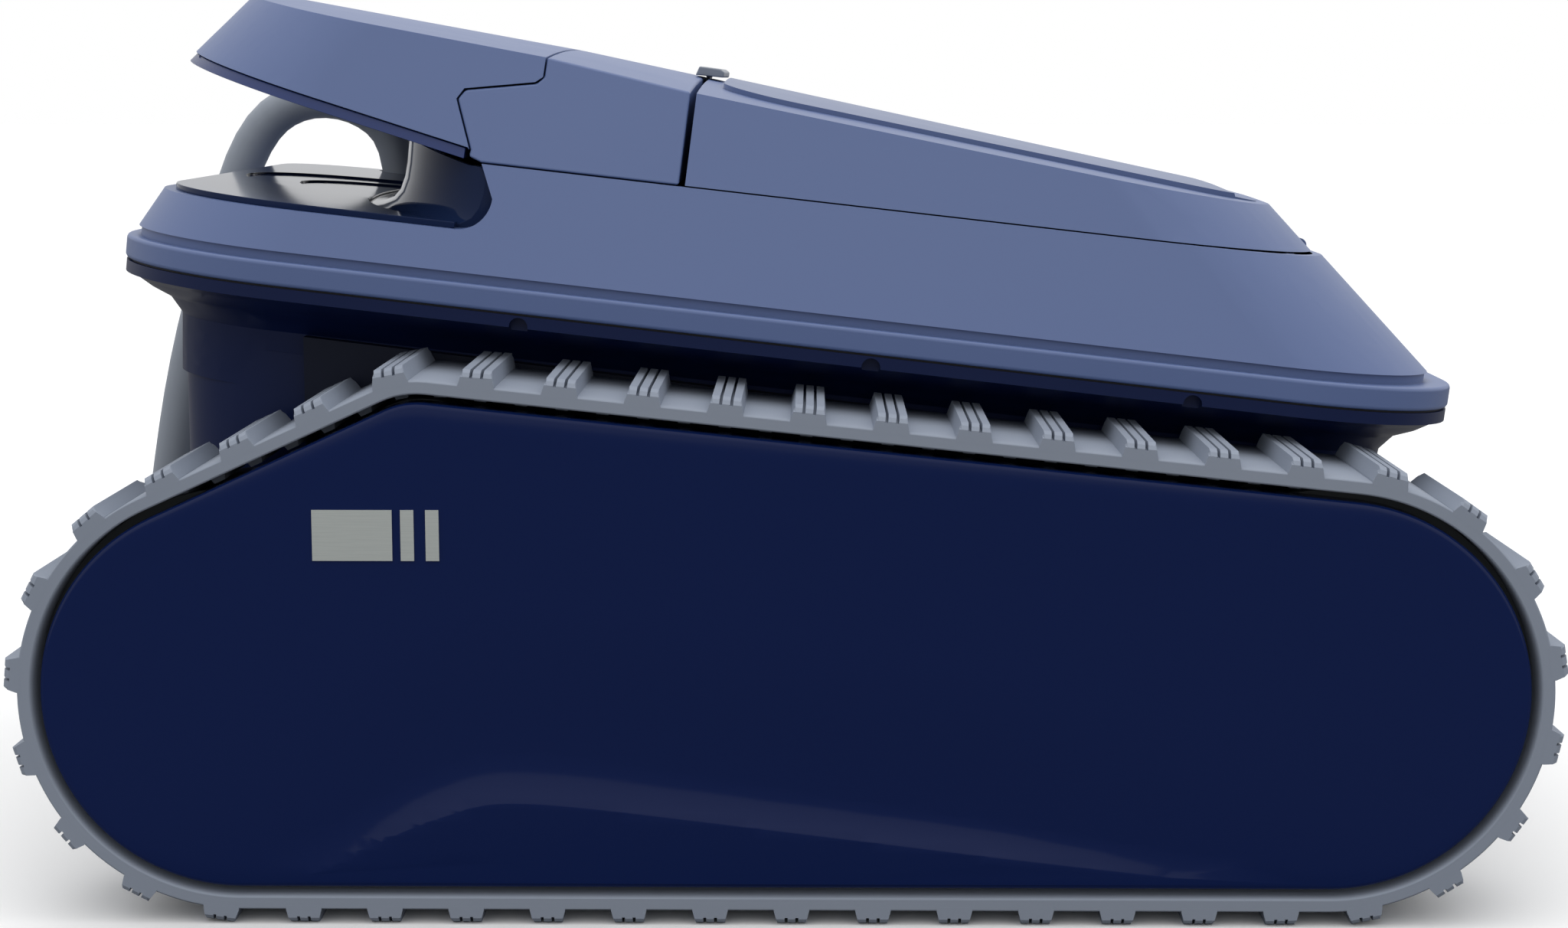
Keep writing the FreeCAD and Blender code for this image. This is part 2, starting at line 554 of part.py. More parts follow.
def pocket_tool():
    """Space over the ledge and under the hood, open to both sides and the rear."""
    a, b, c = V(-260, -200, LEDGE), V(-105.5, -200, LEDGE), V(-95.2, -200, LEDGE + 10.3)
    mid = V(-105.5 + 10.3 * math.sqrt(0.5), -200, LEDGE + 10.3 * (1 - math.sqrt(0.5)))
    d, e = V(-100.2, -200, SEAM + 0.2), V(-112.0, -200, SEAM + 29)
    f = V(-260, -200, SEAM + 29)
    edges = [Part.LineSegment(a, b).toShape(), Part.Arc(b, mid, c).toShape(), Part.LineSegment(c, d).toShape(),
             Part.LineSegment(d, e).toShape(), Part.LineSegment(e, f).toShape(), Part.LineSegment(f, a).toShape()]
    return Part.Face(Part.Wire(edges)).extrude(V(0, 400, 0))


def top_shell():
    """Flange, groove, sloping shell, ledge plate, cable boss, hatch mouth, and hinge knuckles."""
    flange = slab(-216.8, 218.0, 150.0, 60.0, FLANGE_LOW, FLANGE_TOP)
    flange = eased(flange, 1.3, lambda e: abs(e.BoundBox.ZMin - e.BoundBox.ZMax) < 1e-3)
    groove = slab(-212.5, 209.3, 145.6, 56.0, FLANGE_TOP - 0.5, SHELL_LOW)
    low, high = shell_levels(0.0)
    outer = union(flange, groove, stack(low, high)).cut(pocket_tool())
    k_low, k_high = shell_levels(WALL)
    inner = union(slab(-207.5, 206.0, 141.0, 53.0, FLANGE_LOW - 1, FLANGE_TOP - 1.0), stack(
        (k_low[0], k_low[1], k_low[2], k_low[3], FLANGE_TOP - 1.0), k_low,
        (k_high[0], k_high[1], k_high[2], k_high[3], SEAM + 0.01)))
    ledge_keep = box(-240, -92.2, -200, 200, LEDGE - WALL, 260)
    shape = outer.cut(inner.cut(ledge_keep))
    mouth_wall = box(-46.0, -43.0, -135.0, 135.0, SEAM - 9.0, SEAM).common(stack(low, high))
    shape = union(shape, mouth_wall)
    x, z = HINGE
    for y0 in (-56.0, 43.5):
        knuckle = union(rod(2.4, x, z - 0.1, y0, y0 + 12.5), box(x - 3.5, x + 2.4, y0, y0 + 12.5, SEAM - 7, z - 1.2))
        shape = union(shape, knuckle)
    shape = shape.cut(rod(1.25 + FIT, x, z, -70, 70)).cut(rod(3.0, x, z, -43.2, 43.2))
    world = tilt(shape)
    world = union(world, post(13.0, CABLE[0][0], CABLE[0][1], 197.0, 213.5))
    return world.cut(post(9.6, CABLE[0][0], CABLE[0][1], 190.0, 230.0))


def ledge_panel():
    """Glossy ledge panel with two stepped ring recesses and the cable's hole."""
    low, high = shell_levels(3.6)
    top = LEDGE + 2.0
    share = (LEDGE - SHELL_LOW) / (SEAM - SHELL_LOW)
    lv = [a + (b - a) * share for a, b in zip(low, high)]
    panel = slab(lv[0], 140.0, lv[2], lv[3], LEDGE, top).common(box(-230, -106.0, -160, 160, 190, 210))
    panel = panel.cut(Part.Face(bulge(11.6, LEDGE - 1)).extrude(V(0, 0, 10)))
    for r, depth in ((66.0, 0.7), (47.0, 1.3)):
        panel = panel.cut(post(r, -132.0, 0, top - depth, top + 1))
    return tilt(panel).cut(post(9.6, CABLE[0][0], CABLE[0][1], 190.0, 240.0))


def bulge(shift, z, squeeze=1.0, front=-95.6):
    """Closed outline of the pocket's rounded neck, moved back by shift, narrowed by squeeze, at height z."""
    pts = [(-98.5, -131.0), (-113.0, -119.0), (-127.0, -92.0), (-134.5, -50.0), (-137.5, 0.0)]
    pts = [(x, y * squeeze) for x, y in pts]
    full = pts + [(x, -y) for x, y in reversed(pts[:-1])]
    keep = [V(x - shift, y, z) for x, y in full]
    spline = Part.BSplineCurve()
    spline.interpolate(keep)
    a, b = keep[0], keep[-1]
    back0, back1 = V(front, a.y, z), V(front, b.y, z)
    return Part.Wire([spline.toShape(), Part.LineSegment(b, back1).toShape(), Part.LineSegment(back1, back0).toShape(),
                      Part.LineSegment(back0, a).toShape()])


def pocket_liner():
    """Rounded neck wall that flares into the ledge, under the hood."""
    z = LEDGE + 0.05
    levels = [(11.5, z), (6.6, z + 1.2), (3.2, z + 3.4), (1.2, z + 6.6), (0.2, z + 11.0), (0.0, z + 16.0),
              (0.0, z + 46.0)]
    outside = Part.makeLoft([bulge(s, h) for s, h in levels], True, True)
    inner = Part.Face(bulge(-2.6, z + 2.0, 0.978, -90.0)).extrude(V(0, 0, 60))
    body = outside.cut(inner)
    low, high = shell_levels(WALL + 0.2)
    body = body.common(stack(low, high, (high[0] + 8, high[1] - 8, high[2] - 11.6, high[3], SEAM + 25)))
    under = side_prism([(-240.0, 400.0), (-240.0, 242.7), (-196.0, 234.3), (-104.5, 216.6), (-60.0, 216.6),
                        (-60.0, 400.0)], -200, 200)
    return tilt(body.cut(under).common(pocket_tool()))


def under_roof(drop):
    """Everything below the crowned roof surface, lowered by drop."""
    wires = []
    for x, edge, crown in ((-240.0, 263.3, 3.0), (-84.6, 252.4, 3.6), (-38.0, 246.9, 4.6), (60.0, 238.5, 3.4),
                           (200.0, 226.6, 1.4)):
        side, z = edge - 0.616 * crown - drop, edge + crown - drop
        a, m, b = V(x, -150, side), V(x, 0, z), V(x, 150, side)
        wires.append(Part.Wire([Part.Arc(a, m, b).toShape(), Part.LineSegment(b, V(x, 150, 150)).toShape(),
                                Part.LineSegment(V(x, 150, 150), V(x, -150, 150)).toShape(),
                                Part.LineSegment(V(x, -150, 150), a).toShape()]))
    return Part.makeLoft(wires, True, True)


def super_block(cut, z0=SEAM, roof_drop=0.0):
    """Sloping superstructure, moved in by cut, under the roof."""
    rise = 47.0
    levels = [(-224.2 + cut, 171.3 - cut, 131.6 - cut, 62.0 - cut, SEAM),
              (-224.2 + rise * 0.804 + cut, 171.3 - rise * 1.13 - cut, 131.6 - rise * SIDE_DRAFT - cut,
               62.0 - rise * 0.25 - cut, SEAM + rise)]
    drop = (SEAM - z0) / rise
    first = tuple(a - (b - a) * drop for a, b in zip(levels[0], levels[1]))
    return stack(first, levels[1]).common(under_roof(roof_drop))


HOOD_SEAM = [(-84.6, 262.0), (-84.6, 246.3), (-86.8, 244.0), (-108.6, 239.6), (-110.6, 236.6), (-104.2, 221.5)]


def hood_region(gap, lip):
    """Side outline of the hood; gap opens its seam to the bridge, lip raises its underside."""
    seam = [(x - gap, z + (gap if 238 < z < 245 else 0)) for x, z in HOOD_SEAM]
    tip = (-207.5, 238.8 + lip)
    under = (-105.2, 218.9 + lip)
    pts = [(-240.0, 275.0), (-84.6 - gap, 275.0)] + seam[1:] + [under, tip, (-240.0, 238.8 + lip)]
    return side_prism(pts, -200, 200)


def hood_shell():
    """Handle hood, hollow from below, with its front tongue over the bridge."""
    outer = super_block(0.0).common(hood_region(0.45, 3.2))
    inner = super_block(WALL, SEAM, 3.4).common(side_prism(
        [(-240.0, 270.0), (-92.0, 270.0), (-92.0, 249.0), (-116.0, 243.5), (-116.0, 200.0), (-240.0, 200.0)],
        -200, 200))
    return tilt(outer.cut(inner))


def hood_lip():
    """Dark strip that closes the hood's underside."""
    strip = side_prism([(-240.0, 241.7), (-207.5, 241.7), (-106.0, 221.8), (-106.0, 218.6), (-207.5, 238.6),
                        (-240.0, 238.6)], -200, 200)
    body = super_block(0.9).common(strip)
    inner = super_block(9.0).common(side_prism([(-190.0, 250.0), (-118.0, 250.0), (-118.0, 210.0), (-190.0, 210.0)],
                                               -200, 200))
    grip = Part.makeCylinder(4.0, 180.0, V(-196.0, -90.0, 240.6), V(0, 1, 0)).common(strip)
    return tilt(union(body.cut(inner), grip))


def bridge_cover():
    """Cover between hood and hatch, open below."""
    pts = [(-38.3, 275.0)] + [(-84.6, 275.0)] + [(x, z) for x, z in HOOD_SEAM[1:]] + [(-104.4, 219.4),
                                                                                     (-100.4, SEAM + 0.4),
                                                                                     (-38.3, SEAM + 0.4)]
    region = side_prism(pts, -200, 200)
    inner = super_block(WALL, SEAM - 1, 3.4).common(side_prism(
        [(-41.5, 270.0), (-81.0, 270.0), (-81.0, 241.6), (-102.0, 236.5), (-98.5, 226.0), (-98.5, 200.0),
         (-41.5, 200.0)], -200, 200))
    shape = super_block(0.0).common(region).cut(inner)
    return tilt(shape)


def hatch_lid():
    """Hatch: crowned roof, sloping sides and nose, rear wall, inner skirt, knuckles, and latch notch."""
    region = box(HATCH_X0, 240, -200, 200, SEAM + 0.45, 275)
    outer = super_block(0.0).common(region)
    inner = super_block(WALL, SEAM - 1, 3.2).common(box(HATCH_X0 + 3.0, 240, -200, 200, 200, 275))
    shape = outer.cut(inner)
    skirt = slab(-30.0, 156.0, 112.0, 30.0, SEAM - 4.0, SEAM + 4.0).cut(
        slab(-27.0, 153.0, 109.0, 27.0, SEAM - 6.0, SEAM + 6.0))
    web = slab(-34.0, 160.0, 124.0, 36.0, SEAM + 2.5, SEAM + 4.0).cut(
        slab(-27.0, 153.0, 109.0, 27.0, SEAM - 6.0, SEAM + 6.0)).common(super_block(1.0))
    shape = union(shape, skirt, web)
    x, z = HINGE
    for y0 in (-43.0, 30.5):
        arm = union(rod(2.2, x, z, y0, y0 + 12.5), box(x - 4.5, x, y0, y0 + 12.5, z - 0.6, z + 1.8))
        shape = union(shape, arm)
    shape = shape.cut(rod(1.25, x, z, -70, 70))
    for y0 in (-57.0, 43.0):
        shape = shape.cut(rod(2.9, x, z, y0, y0 + 14.0)).cut(box(x - 4.2, x + 4, y0, y0 + 14, SEAM - 9, z))
    return tilt(shape)


def hatch_panel():
    """Raised centre panel on the hatch roof."""
    region = slab(-29.6, 151.0, 96.0, 26.0, 200, 280)
    skin = under_roof(-1.7).cut(under_roof(0.0)).common(region)
    taper = side_prism([(-60, 300), (-60, 200), (160, 200), (160, 231.2), (141, 233.2), (110, 300)], -200, 200)
    return tilt(skin.common(taper))


def hatch_seal():
    """Soft ring under the hatch, round its skirt."""
    ring = slab(-32.0, 158.0, 114.0, 32.0, SEAM + 0.6, SEAM + 2.4)
    return tilt(ring.cut(slab(-30.05, 156.05, 112.05, 30.05, SEAM, SEAM + 5)).common(super_block(WALL + 0.2)))


def hinge_pins():
    """Two hinge pins."""
    x, z = HINGE
    return tilt(Part.makeCompound([rod(1.25, x, z, -56.0, -30.5), rod(1.25, x, z, 30.5, 56.0)]))


def latch_tab():
    """Finger latch that slides sideways along the gap between hatch and bridge, with its leg in the gap."""
    body = side_prism([(-41.0, 252.1), (-40.0, 255.2), (-32.6, 255.0), (-31.2, 254.2), (-31.2, 252.2)], -30.0, 30.0)
    body = eased(body, 0.7, lambda e: abs(e.BoundBox.YLength - 60.0) < 1e-3 and e.BoundBox.ZMin > 253)
    hook = side_prism([(-37.9, 252.6), (-36.7, 252.6), (-36.7, 240.0), (-37.9, 240.0)], -12.0, 12.0)
    return tilt(union(body, hook))


# ------------------------------------------------------------------ cable
def cable_gland():
    """Strain relief in the ledge's boss."""
    x, y, z = CABLE[0]
    return union(post(9.55, x, y, 199.0, z), post(12.0, x, y, 194.0, 197.0), post(8.0, x, y, 196.0, 200.0))


def float_cable():
    """Free run of the cable: straight runs and tangent arcs; prints its radii, length, and volume check."""
    pts = [V(*p) for p in CABLE]
    edges, at, total, radii = [], pts[0], 0.0, []
    for a, b, c in zip(pts, pts[1:], pts[2:]):
        u, w = (b - a).normalize(), (c - b).normalize()
        turn = u.getAngle(w)
        short = min((b - a).Length, (c - b).Length)
        cut = 0.45 * short
        radius = cut / math.tan(turn / 2)
        p, q = b - u * cut, b + w * cut
        mid = b + (w - u).normalize() * (radius / math.cos(turn / 2) - radius)
        edges += [Part.LineSegment(at, p).toShape(), Part.Arc(p, mid, q).toShape()]
        total += (p - at).Length + radius * turn
        radii.append(round(radius, 1))
        at = q
    edges.append(Part.LineSegment(at, pts[-1]).toShape())
    total += (pts[-1] - at).Length
    path = Part.Wire(edges)
    ring = Part.Wire(Part.Circle(pts[0], pts[1] - pts[0], CABLE_R).toShape())
    tube = path.makePipeShell([ring], True, False)
    print("cable radii", radii, "length", round(total, 1), "volume ratio",
          round(tube.Volume / (math.pi * CABLE_R ** 2 * total), 4))
    return tube


def cable_coil():
    """Outer shape of the coiled length, with the tail that turns in to the connector."""
    x, y = COIL_AT
    z1 = COIL_LOW + 2 * COIL_HALF
    ring = post(COIL_MID_R + COIL_HALF, x, y, COIL_LOW, z1).cut(post(COIL_MID_R - COIL_HALF, x, y, 0, z1 + 1))
    tail = Part.makeTorus(50.0, CABLE_R, V(0, 0, 0), V(0, 0, 1), -180, 180, 90)
    tail.rotate(V(0, 0, 0), V(0, 0, 1), 90)
    tail.translate(V(x - 46.0, y, CONNECTOR_Z))
    return union(ring, tail)


def coil_tie():
    """Band round the coil's bundle."""
    x, y = COIL_AT[0] + COIL_MID_R, COIL_AT[1]
    h, t = COIL_HALF, 1.2
    outer = box(x - h - t, x + h + t, y - 6, y + 6, 0.0, COIL_LOW + 2 * h + t)
    ring = box(x - h, x + h, y - 6, y + 6, COIL_LOW, COIL_LOW + 2 * h)
    return outer.cut(ring).cut(cable_coil())


def cable_connector():
    """Two-pin waterproof connector that lies inside the coil."""
    x, y, z = COIL_AT[0] - 32.0, COIL_AT[1] + 50.0, CONNECTOR_Z
    body = Part.makeCylinder(11.0, 34.0, V(x, y, z), V(1, 0, 0))
    ring = Part.makeCylinder(12.0, 12.0, V(x + 30, y, z), V(1, 0, 0)).cut(
        Part.makeCylinder(9.6, 9.0, V(x + 33.5, y, z), V(1, 0, 0)))
    tail = Part.makeCone(8.2, 10.6, 14.0, V(x - 14, y, z), V(1, 0, 0))
    pins = [Part.makeCylinder(1.6, 7.0, V(x + 33, y + dy, z), V(1, 0, 0)) for dy in (-3.5, 3.5)]
    return union(body, ring, tail, *pins)


# ------------------------------------------------------------------ output
def both(name, shape):
    """A near piece and its mirror image."""
    return {name + "_near": shape, name + "_far": mirror(shape)}


def pieces():
    """Every node of the part."""
    made = {"lower_tub": tub(), "flange_seal": flange_seal(), "bottom_plate": bottom_plate(),
            "bottom_screws": bottom_screws(), "intake_duct": intake_duct(), "basket_frame": basket_frame(),
            "basket_mesh": basket_mesh(), "motor_box": motor_box(), "motor_box_lid": motor_box_lid(),
            "pump_motor": pump_motor(), "impeller": impeller(), "control_board": control_board(), "top_shell": top_shell(), "ledge_panel": ledge_panel(),
            "pocket_liner": pocket_liner(), "bridge_cover": bridge_cover(), "hood_shell": hood_shell(),
            "hood_lip": hood_lip(), "hatch_lid": hatch_lid(), "hatch_panel": hatch_panel(),
            "hatch_seal": hatch_seal(), "hinge_pins": hinge_pins(), "latch_tab": latch_tab(),
            "cable_gland": cable_gland(), "float_cable": float_cable(), "cable_coil": cable_coil(),
            "coil_tie": coil_tie(), "cable_connector": cable_connector()}
    made.update(both("track_belt", track_belt()))
    made.update(both("side_cover", side_cover()))
    made.update(both("cover_badge", cover_badge()))
    made.update(both("side_frame", side_frame()))
    made.update(both("axle_set", axle_set()))
    made.update(both("drive_wheel", track_wheel(-WHEEL_X, AXLE_R + 2)))
    made.update(both("drive_shaft", drive_shaft()))
    made.update(both("front_wheel", track_wheel(WHEEL_X, AXLE_R + FIT)))
    made.update(both("upper_roller", plain_roller(ROLLER_X, ROLLER_Z, UPPER_R)))
    for i, x in enumerate(SUPPORT_X, 1):
        made.update(both("support_roller_%d" % i, plain_roller(x, SUPPORT_Z, SUPPORT_R)))
    made.update(both("drive_motor", drive_motor()))
    made.update(both("motor_pinion", motor_pinion()))
    made.update(both("intake_flap", intake_flap()))
    for name, x in (("front", BRUSH_X), ("rear", -BRUSH_X)):
        made["brush_core_" + name] = brush_core(x) if x > 0 else mirror(brush_core(x))
        made["brush_sleeve_" + name] = brush_sleeve(x)
    return made


def main():
    """Write every piece and print its size."""
    os.makedirs("parts", exist_ok=True)
    made = pieces()
    for old in os.listdir("parts"):
        os.remove(os.path.join("parts", old))
    for name, shape in made.items():
        bb = shape.optimalBoundingBox(True)
        print("%-22s solids %d valid %s vol %.0f  X %.1f..%.1f Y %.1f..%.1f Z %.1f..%.1f" % (
            name, len(shape.Solids), shape.isValid(), shape.Volume, bb.XMin, bb.XMax, bb.YMin, bb.YMax, bb.ZMin,
            bb.ZMax))
        shape.exportStep("parts/%s.step" % name)
    print(len(made), "pieces; pitch offset", round(PATH.pitch_off, 3), "lug pitch", round(PATH.lug_pitch, 3))


main()
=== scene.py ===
"""Tracked pool cleaner with grey lugged belts, a sloping blue body, a carry hood and a floating cable.

Every size is in metres, in the cleaner's own frame: +X to the nose, +Y to its left, +Z up.
"""

import json
import logging
import math
from dataclasses import dataclass, field
from enum import Enum
from typing import Dict, List, Sequence, Tuple

import bmesh
import bpy
from mathutils import Matrix, Vector
from mathutils.geometry import delaunay_2d_cdt

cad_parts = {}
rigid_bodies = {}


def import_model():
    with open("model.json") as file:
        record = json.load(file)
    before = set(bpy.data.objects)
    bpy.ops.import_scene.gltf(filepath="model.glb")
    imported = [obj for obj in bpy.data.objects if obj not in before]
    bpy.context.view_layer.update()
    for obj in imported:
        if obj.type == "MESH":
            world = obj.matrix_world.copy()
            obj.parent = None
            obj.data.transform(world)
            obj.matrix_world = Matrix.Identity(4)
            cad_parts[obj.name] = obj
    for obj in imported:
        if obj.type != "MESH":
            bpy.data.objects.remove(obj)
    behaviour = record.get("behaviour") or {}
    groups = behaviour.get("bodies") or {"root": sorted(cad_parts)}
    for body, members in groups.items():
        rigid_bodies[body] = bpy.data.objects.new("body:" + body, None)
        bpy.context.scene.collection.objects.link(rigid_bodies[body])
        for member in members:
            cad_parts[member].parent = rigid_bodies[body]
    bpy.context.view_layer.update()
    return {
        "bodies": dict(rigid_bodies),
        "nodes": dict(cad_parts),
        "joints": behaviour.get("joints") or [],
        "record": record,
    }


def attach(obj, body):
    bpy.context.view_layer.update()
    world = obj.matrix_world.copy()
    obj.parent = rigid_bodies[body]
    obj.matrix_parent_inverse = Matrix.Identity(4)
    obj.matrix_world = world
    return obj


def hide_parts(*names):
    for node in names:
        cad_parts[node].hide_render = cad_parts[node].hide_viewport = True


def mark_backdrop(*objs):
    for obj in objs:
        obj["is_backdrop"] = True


LOG = logging.getLogger("pool_cleaner")
Point = Tuple[float, float, float]
Flat = Tuple[float, float]
Colour = Tuple[float, float, float]


def add_object(name: str, data: bpy.types.ID) -> bpy.types.Object:
    """Make an object from its data and put it in the scene."""
    thing = bpy.data.objects.new(name, data)
    bpy.context.scene.collection.objects.link(thing)
    return thing


def mesh_from(work: bmesh.types.BMesh, name: str) -> bpy.types.Mesh:
    """Turn worked geometry into a named mesh, and free it."""
    mesh = bpy.data.meshes.new(name)
    work.to_mesh(mesh)
    work.free()
    return mesh


def evaluated_mesh(thing: bpy.types.Object) -> bpy.types.Mesh:
    """Plain mesh of an object with its modifiers applied."""
    graph = bpy.context.evaluated_depsgraph_get()
    graph.update()
    return bpy.data.meshes.new_from_object(thing.evaluated_get(graph), depsgraph=graph)


def circle(work: bmesh.types.BMesh, radius: float, z: float, count: int) -> List[bmesh.types.BMVert]:
    """Ring of points round Z at a height."""
    turn = 2 * math.pi / count
    return [work.verts.new((radius * math.cos(turn * i), radius * math.sin(turn * i), z)) for i in range(count)]


class Side(Enum):
    """The two sides of the cleaner, with the sign of Y on each."""

    NEAR = -1
    FAR = 1

    @property
    def word(self) -> str:
        """Name that the side's pieces end in."""
        return self.name.lower()


# ------------------------------------------------------------------ studio
@dataclass
class Studio:
    """Camera, pale floor, and soft light."""

    eye: Point = (0.0088, -0.995, 0.2556)
    pitch_deg: float = 82.0
    yaw_deg: float = 0.62
    lens_mm: float = 63.25
    floor_half: float = 14.0
    horizon: Colour = (0.72, 0.73, 0.75)
    zenith: Colour = (1.15, 1.15, 1.15)
    floor_seen: float = 1.0
    floor_bounce: float = 0.22
    box_at: Point = (0.1, 0.3, 1.9)
    box_aim: Point = (0.0, 0.0, 0.1)
    box_size: Flat = (2.2, 1.6)
    box_watts: float = 9.0

    def place_camera(self) -> bpy.types.Object:
        """Make the camera and set it as the scene's.

        Returns:
            The camera object.
        """
        data = bpy.data.cameras.new("camera")
        data.lens, data.sensor_width = self.lens_mm, 36.0
        data.clip_start, data.clip_end = 0.01, 100.0
        camera = add_object("camera", data)
        camera.location = self.eye
        camera.rotation_euler = (math.radians(self.pitch_deg), 0.0, math.radians(self.yaw_deg))
        bpy.context.scene.camera = camera
        return camera

    def area(self, name: str, at: Point, aim: Point, size: Flat, watts: float, colour: Colour) -> None:
        """Add one soft box.

        Args:
            name: Name of the light.
            at: Where it stands.
            aim: What it points at.
            size: Width and height.
            watts: Power.
            colour: Linear colour.
        """
        data = bpy.data.lights.new(name, "AREA")
        data.shape, data.size, data.size_y = "RECTANGLE", size[0], size[1]
        data.energy, data.color = watts, colour
        lamp = add_object(name, data)
        lamp.location = at
        lamp.rotation_euler = (Vector(aim) - Vector(at)).to_track_quat("-Z", "Y").to_euler()

    def light(self) -> None:
        """Set the pale surroundings and the one soft box."""
        world = bpy.data.worlds.new("pale_room")
        world.use_nodes = True
        tree = world.node_tree
        back, out = tree.nodes["Background"], tree.nodes["World Output"]
        back.inputs["Strength"].default_value = 1.0
        plain, path, mix = (tree.nodes.new("ShaderNodeBackground"), tree.nodes.new("ShaderNodeLightPath"),
                            tree.nodes.new("ShaderNodeMixShader"))
        plain.inputs["Color"].default_value = (1.0, 1.0, 1.0, 1.0)
        where, split, ramp = (tree.nodes.new("ShaderNodeTexCoord"), tree.nodes.new("ShaderNodeSeparateXYZ"),
                              tree.nodes.new("ShaderNodeValToRGB"))
        ramp.color_ramp.elements[0].position, ramp.color_ramp.elements[1].position = 0.0, 0.7
        ramp.color_ramp.elements[0].color = (*self.horizon, 1.0)
        ramp.color_ramp.elements[1].color = (*self.zenith, 1.0)
        tree.links.new(where.outputs["Generated"], split.inputs[0])
        tree.links.new(split.outputs["Z"], ramp.inputs[0])
        tree.links.new(ramp.outputs[0], back.inputs["Color"])
        tree.links.new(path.outputs["Is Camera Ray"], mix.inputs[0])
        tree.links.new(back.outputs[0], mix.inputs[1])
        tree.links.new(plain.outputs[0], mix.inputs[2])
        tree.links.new(mix.outputs[0], out.inputs["Surface"])
        bpy.context.scene.world = world
        bpy.context.scene.view_settings.view_transform = "Standard"
        self.area("top_box", self.box_at, self.box_aim, self.box_size, self.box_watts, (1.0, 1.0, 1.0))

    def lay_floor(self) -> bpy.types.Object:
        """Make the plain pale floor.

        Returns:
            The floor object.
        """
        h = self.floor_half
        mesh = bpy.data.meshes.new("floor")
        mesh.from_pydata([(-h, -h, 0), (h, -h, 0), (h, h, 0), (-h, h, 0)], [], [(0, 1, 2, 3)])
        floor = add_object("floor", mesh)
        paint = bpy.data.materials.new("floor_pale")
        paint.use_nodes = True
        shader = paint.node_tree.nodes["Principled BSDF"]
        path, shade = paint.node_tree.nodes.new("ShaderNodeLightPath"), paint.node_tree.nodes.new("ShaderNodeMix")
        shade.data_type = "RGBA"
        shade.inputs[6].default_value = (self.floor_bounce, self.floor_bounce, self.floor_bounce, 1.0)
        shade.inputs[7].default_value = (self.floor_seen, self.floor_seen, self.floor_seen, 1.0)
        paint.node_tree.links.new(path.outputs["Is Camera Ray"], shade.inputs["Factor"])
        paint.node_tree.links.new(shade.outputs[2], shader.inputs["Base Color"])
        shader.inputs["Roughness"].default_value = 0.9
        shader.inputs["Specular IOR Level"].default_value = 0.1
        mesh.materials.append(paint)
        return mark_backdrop(floor) or floor


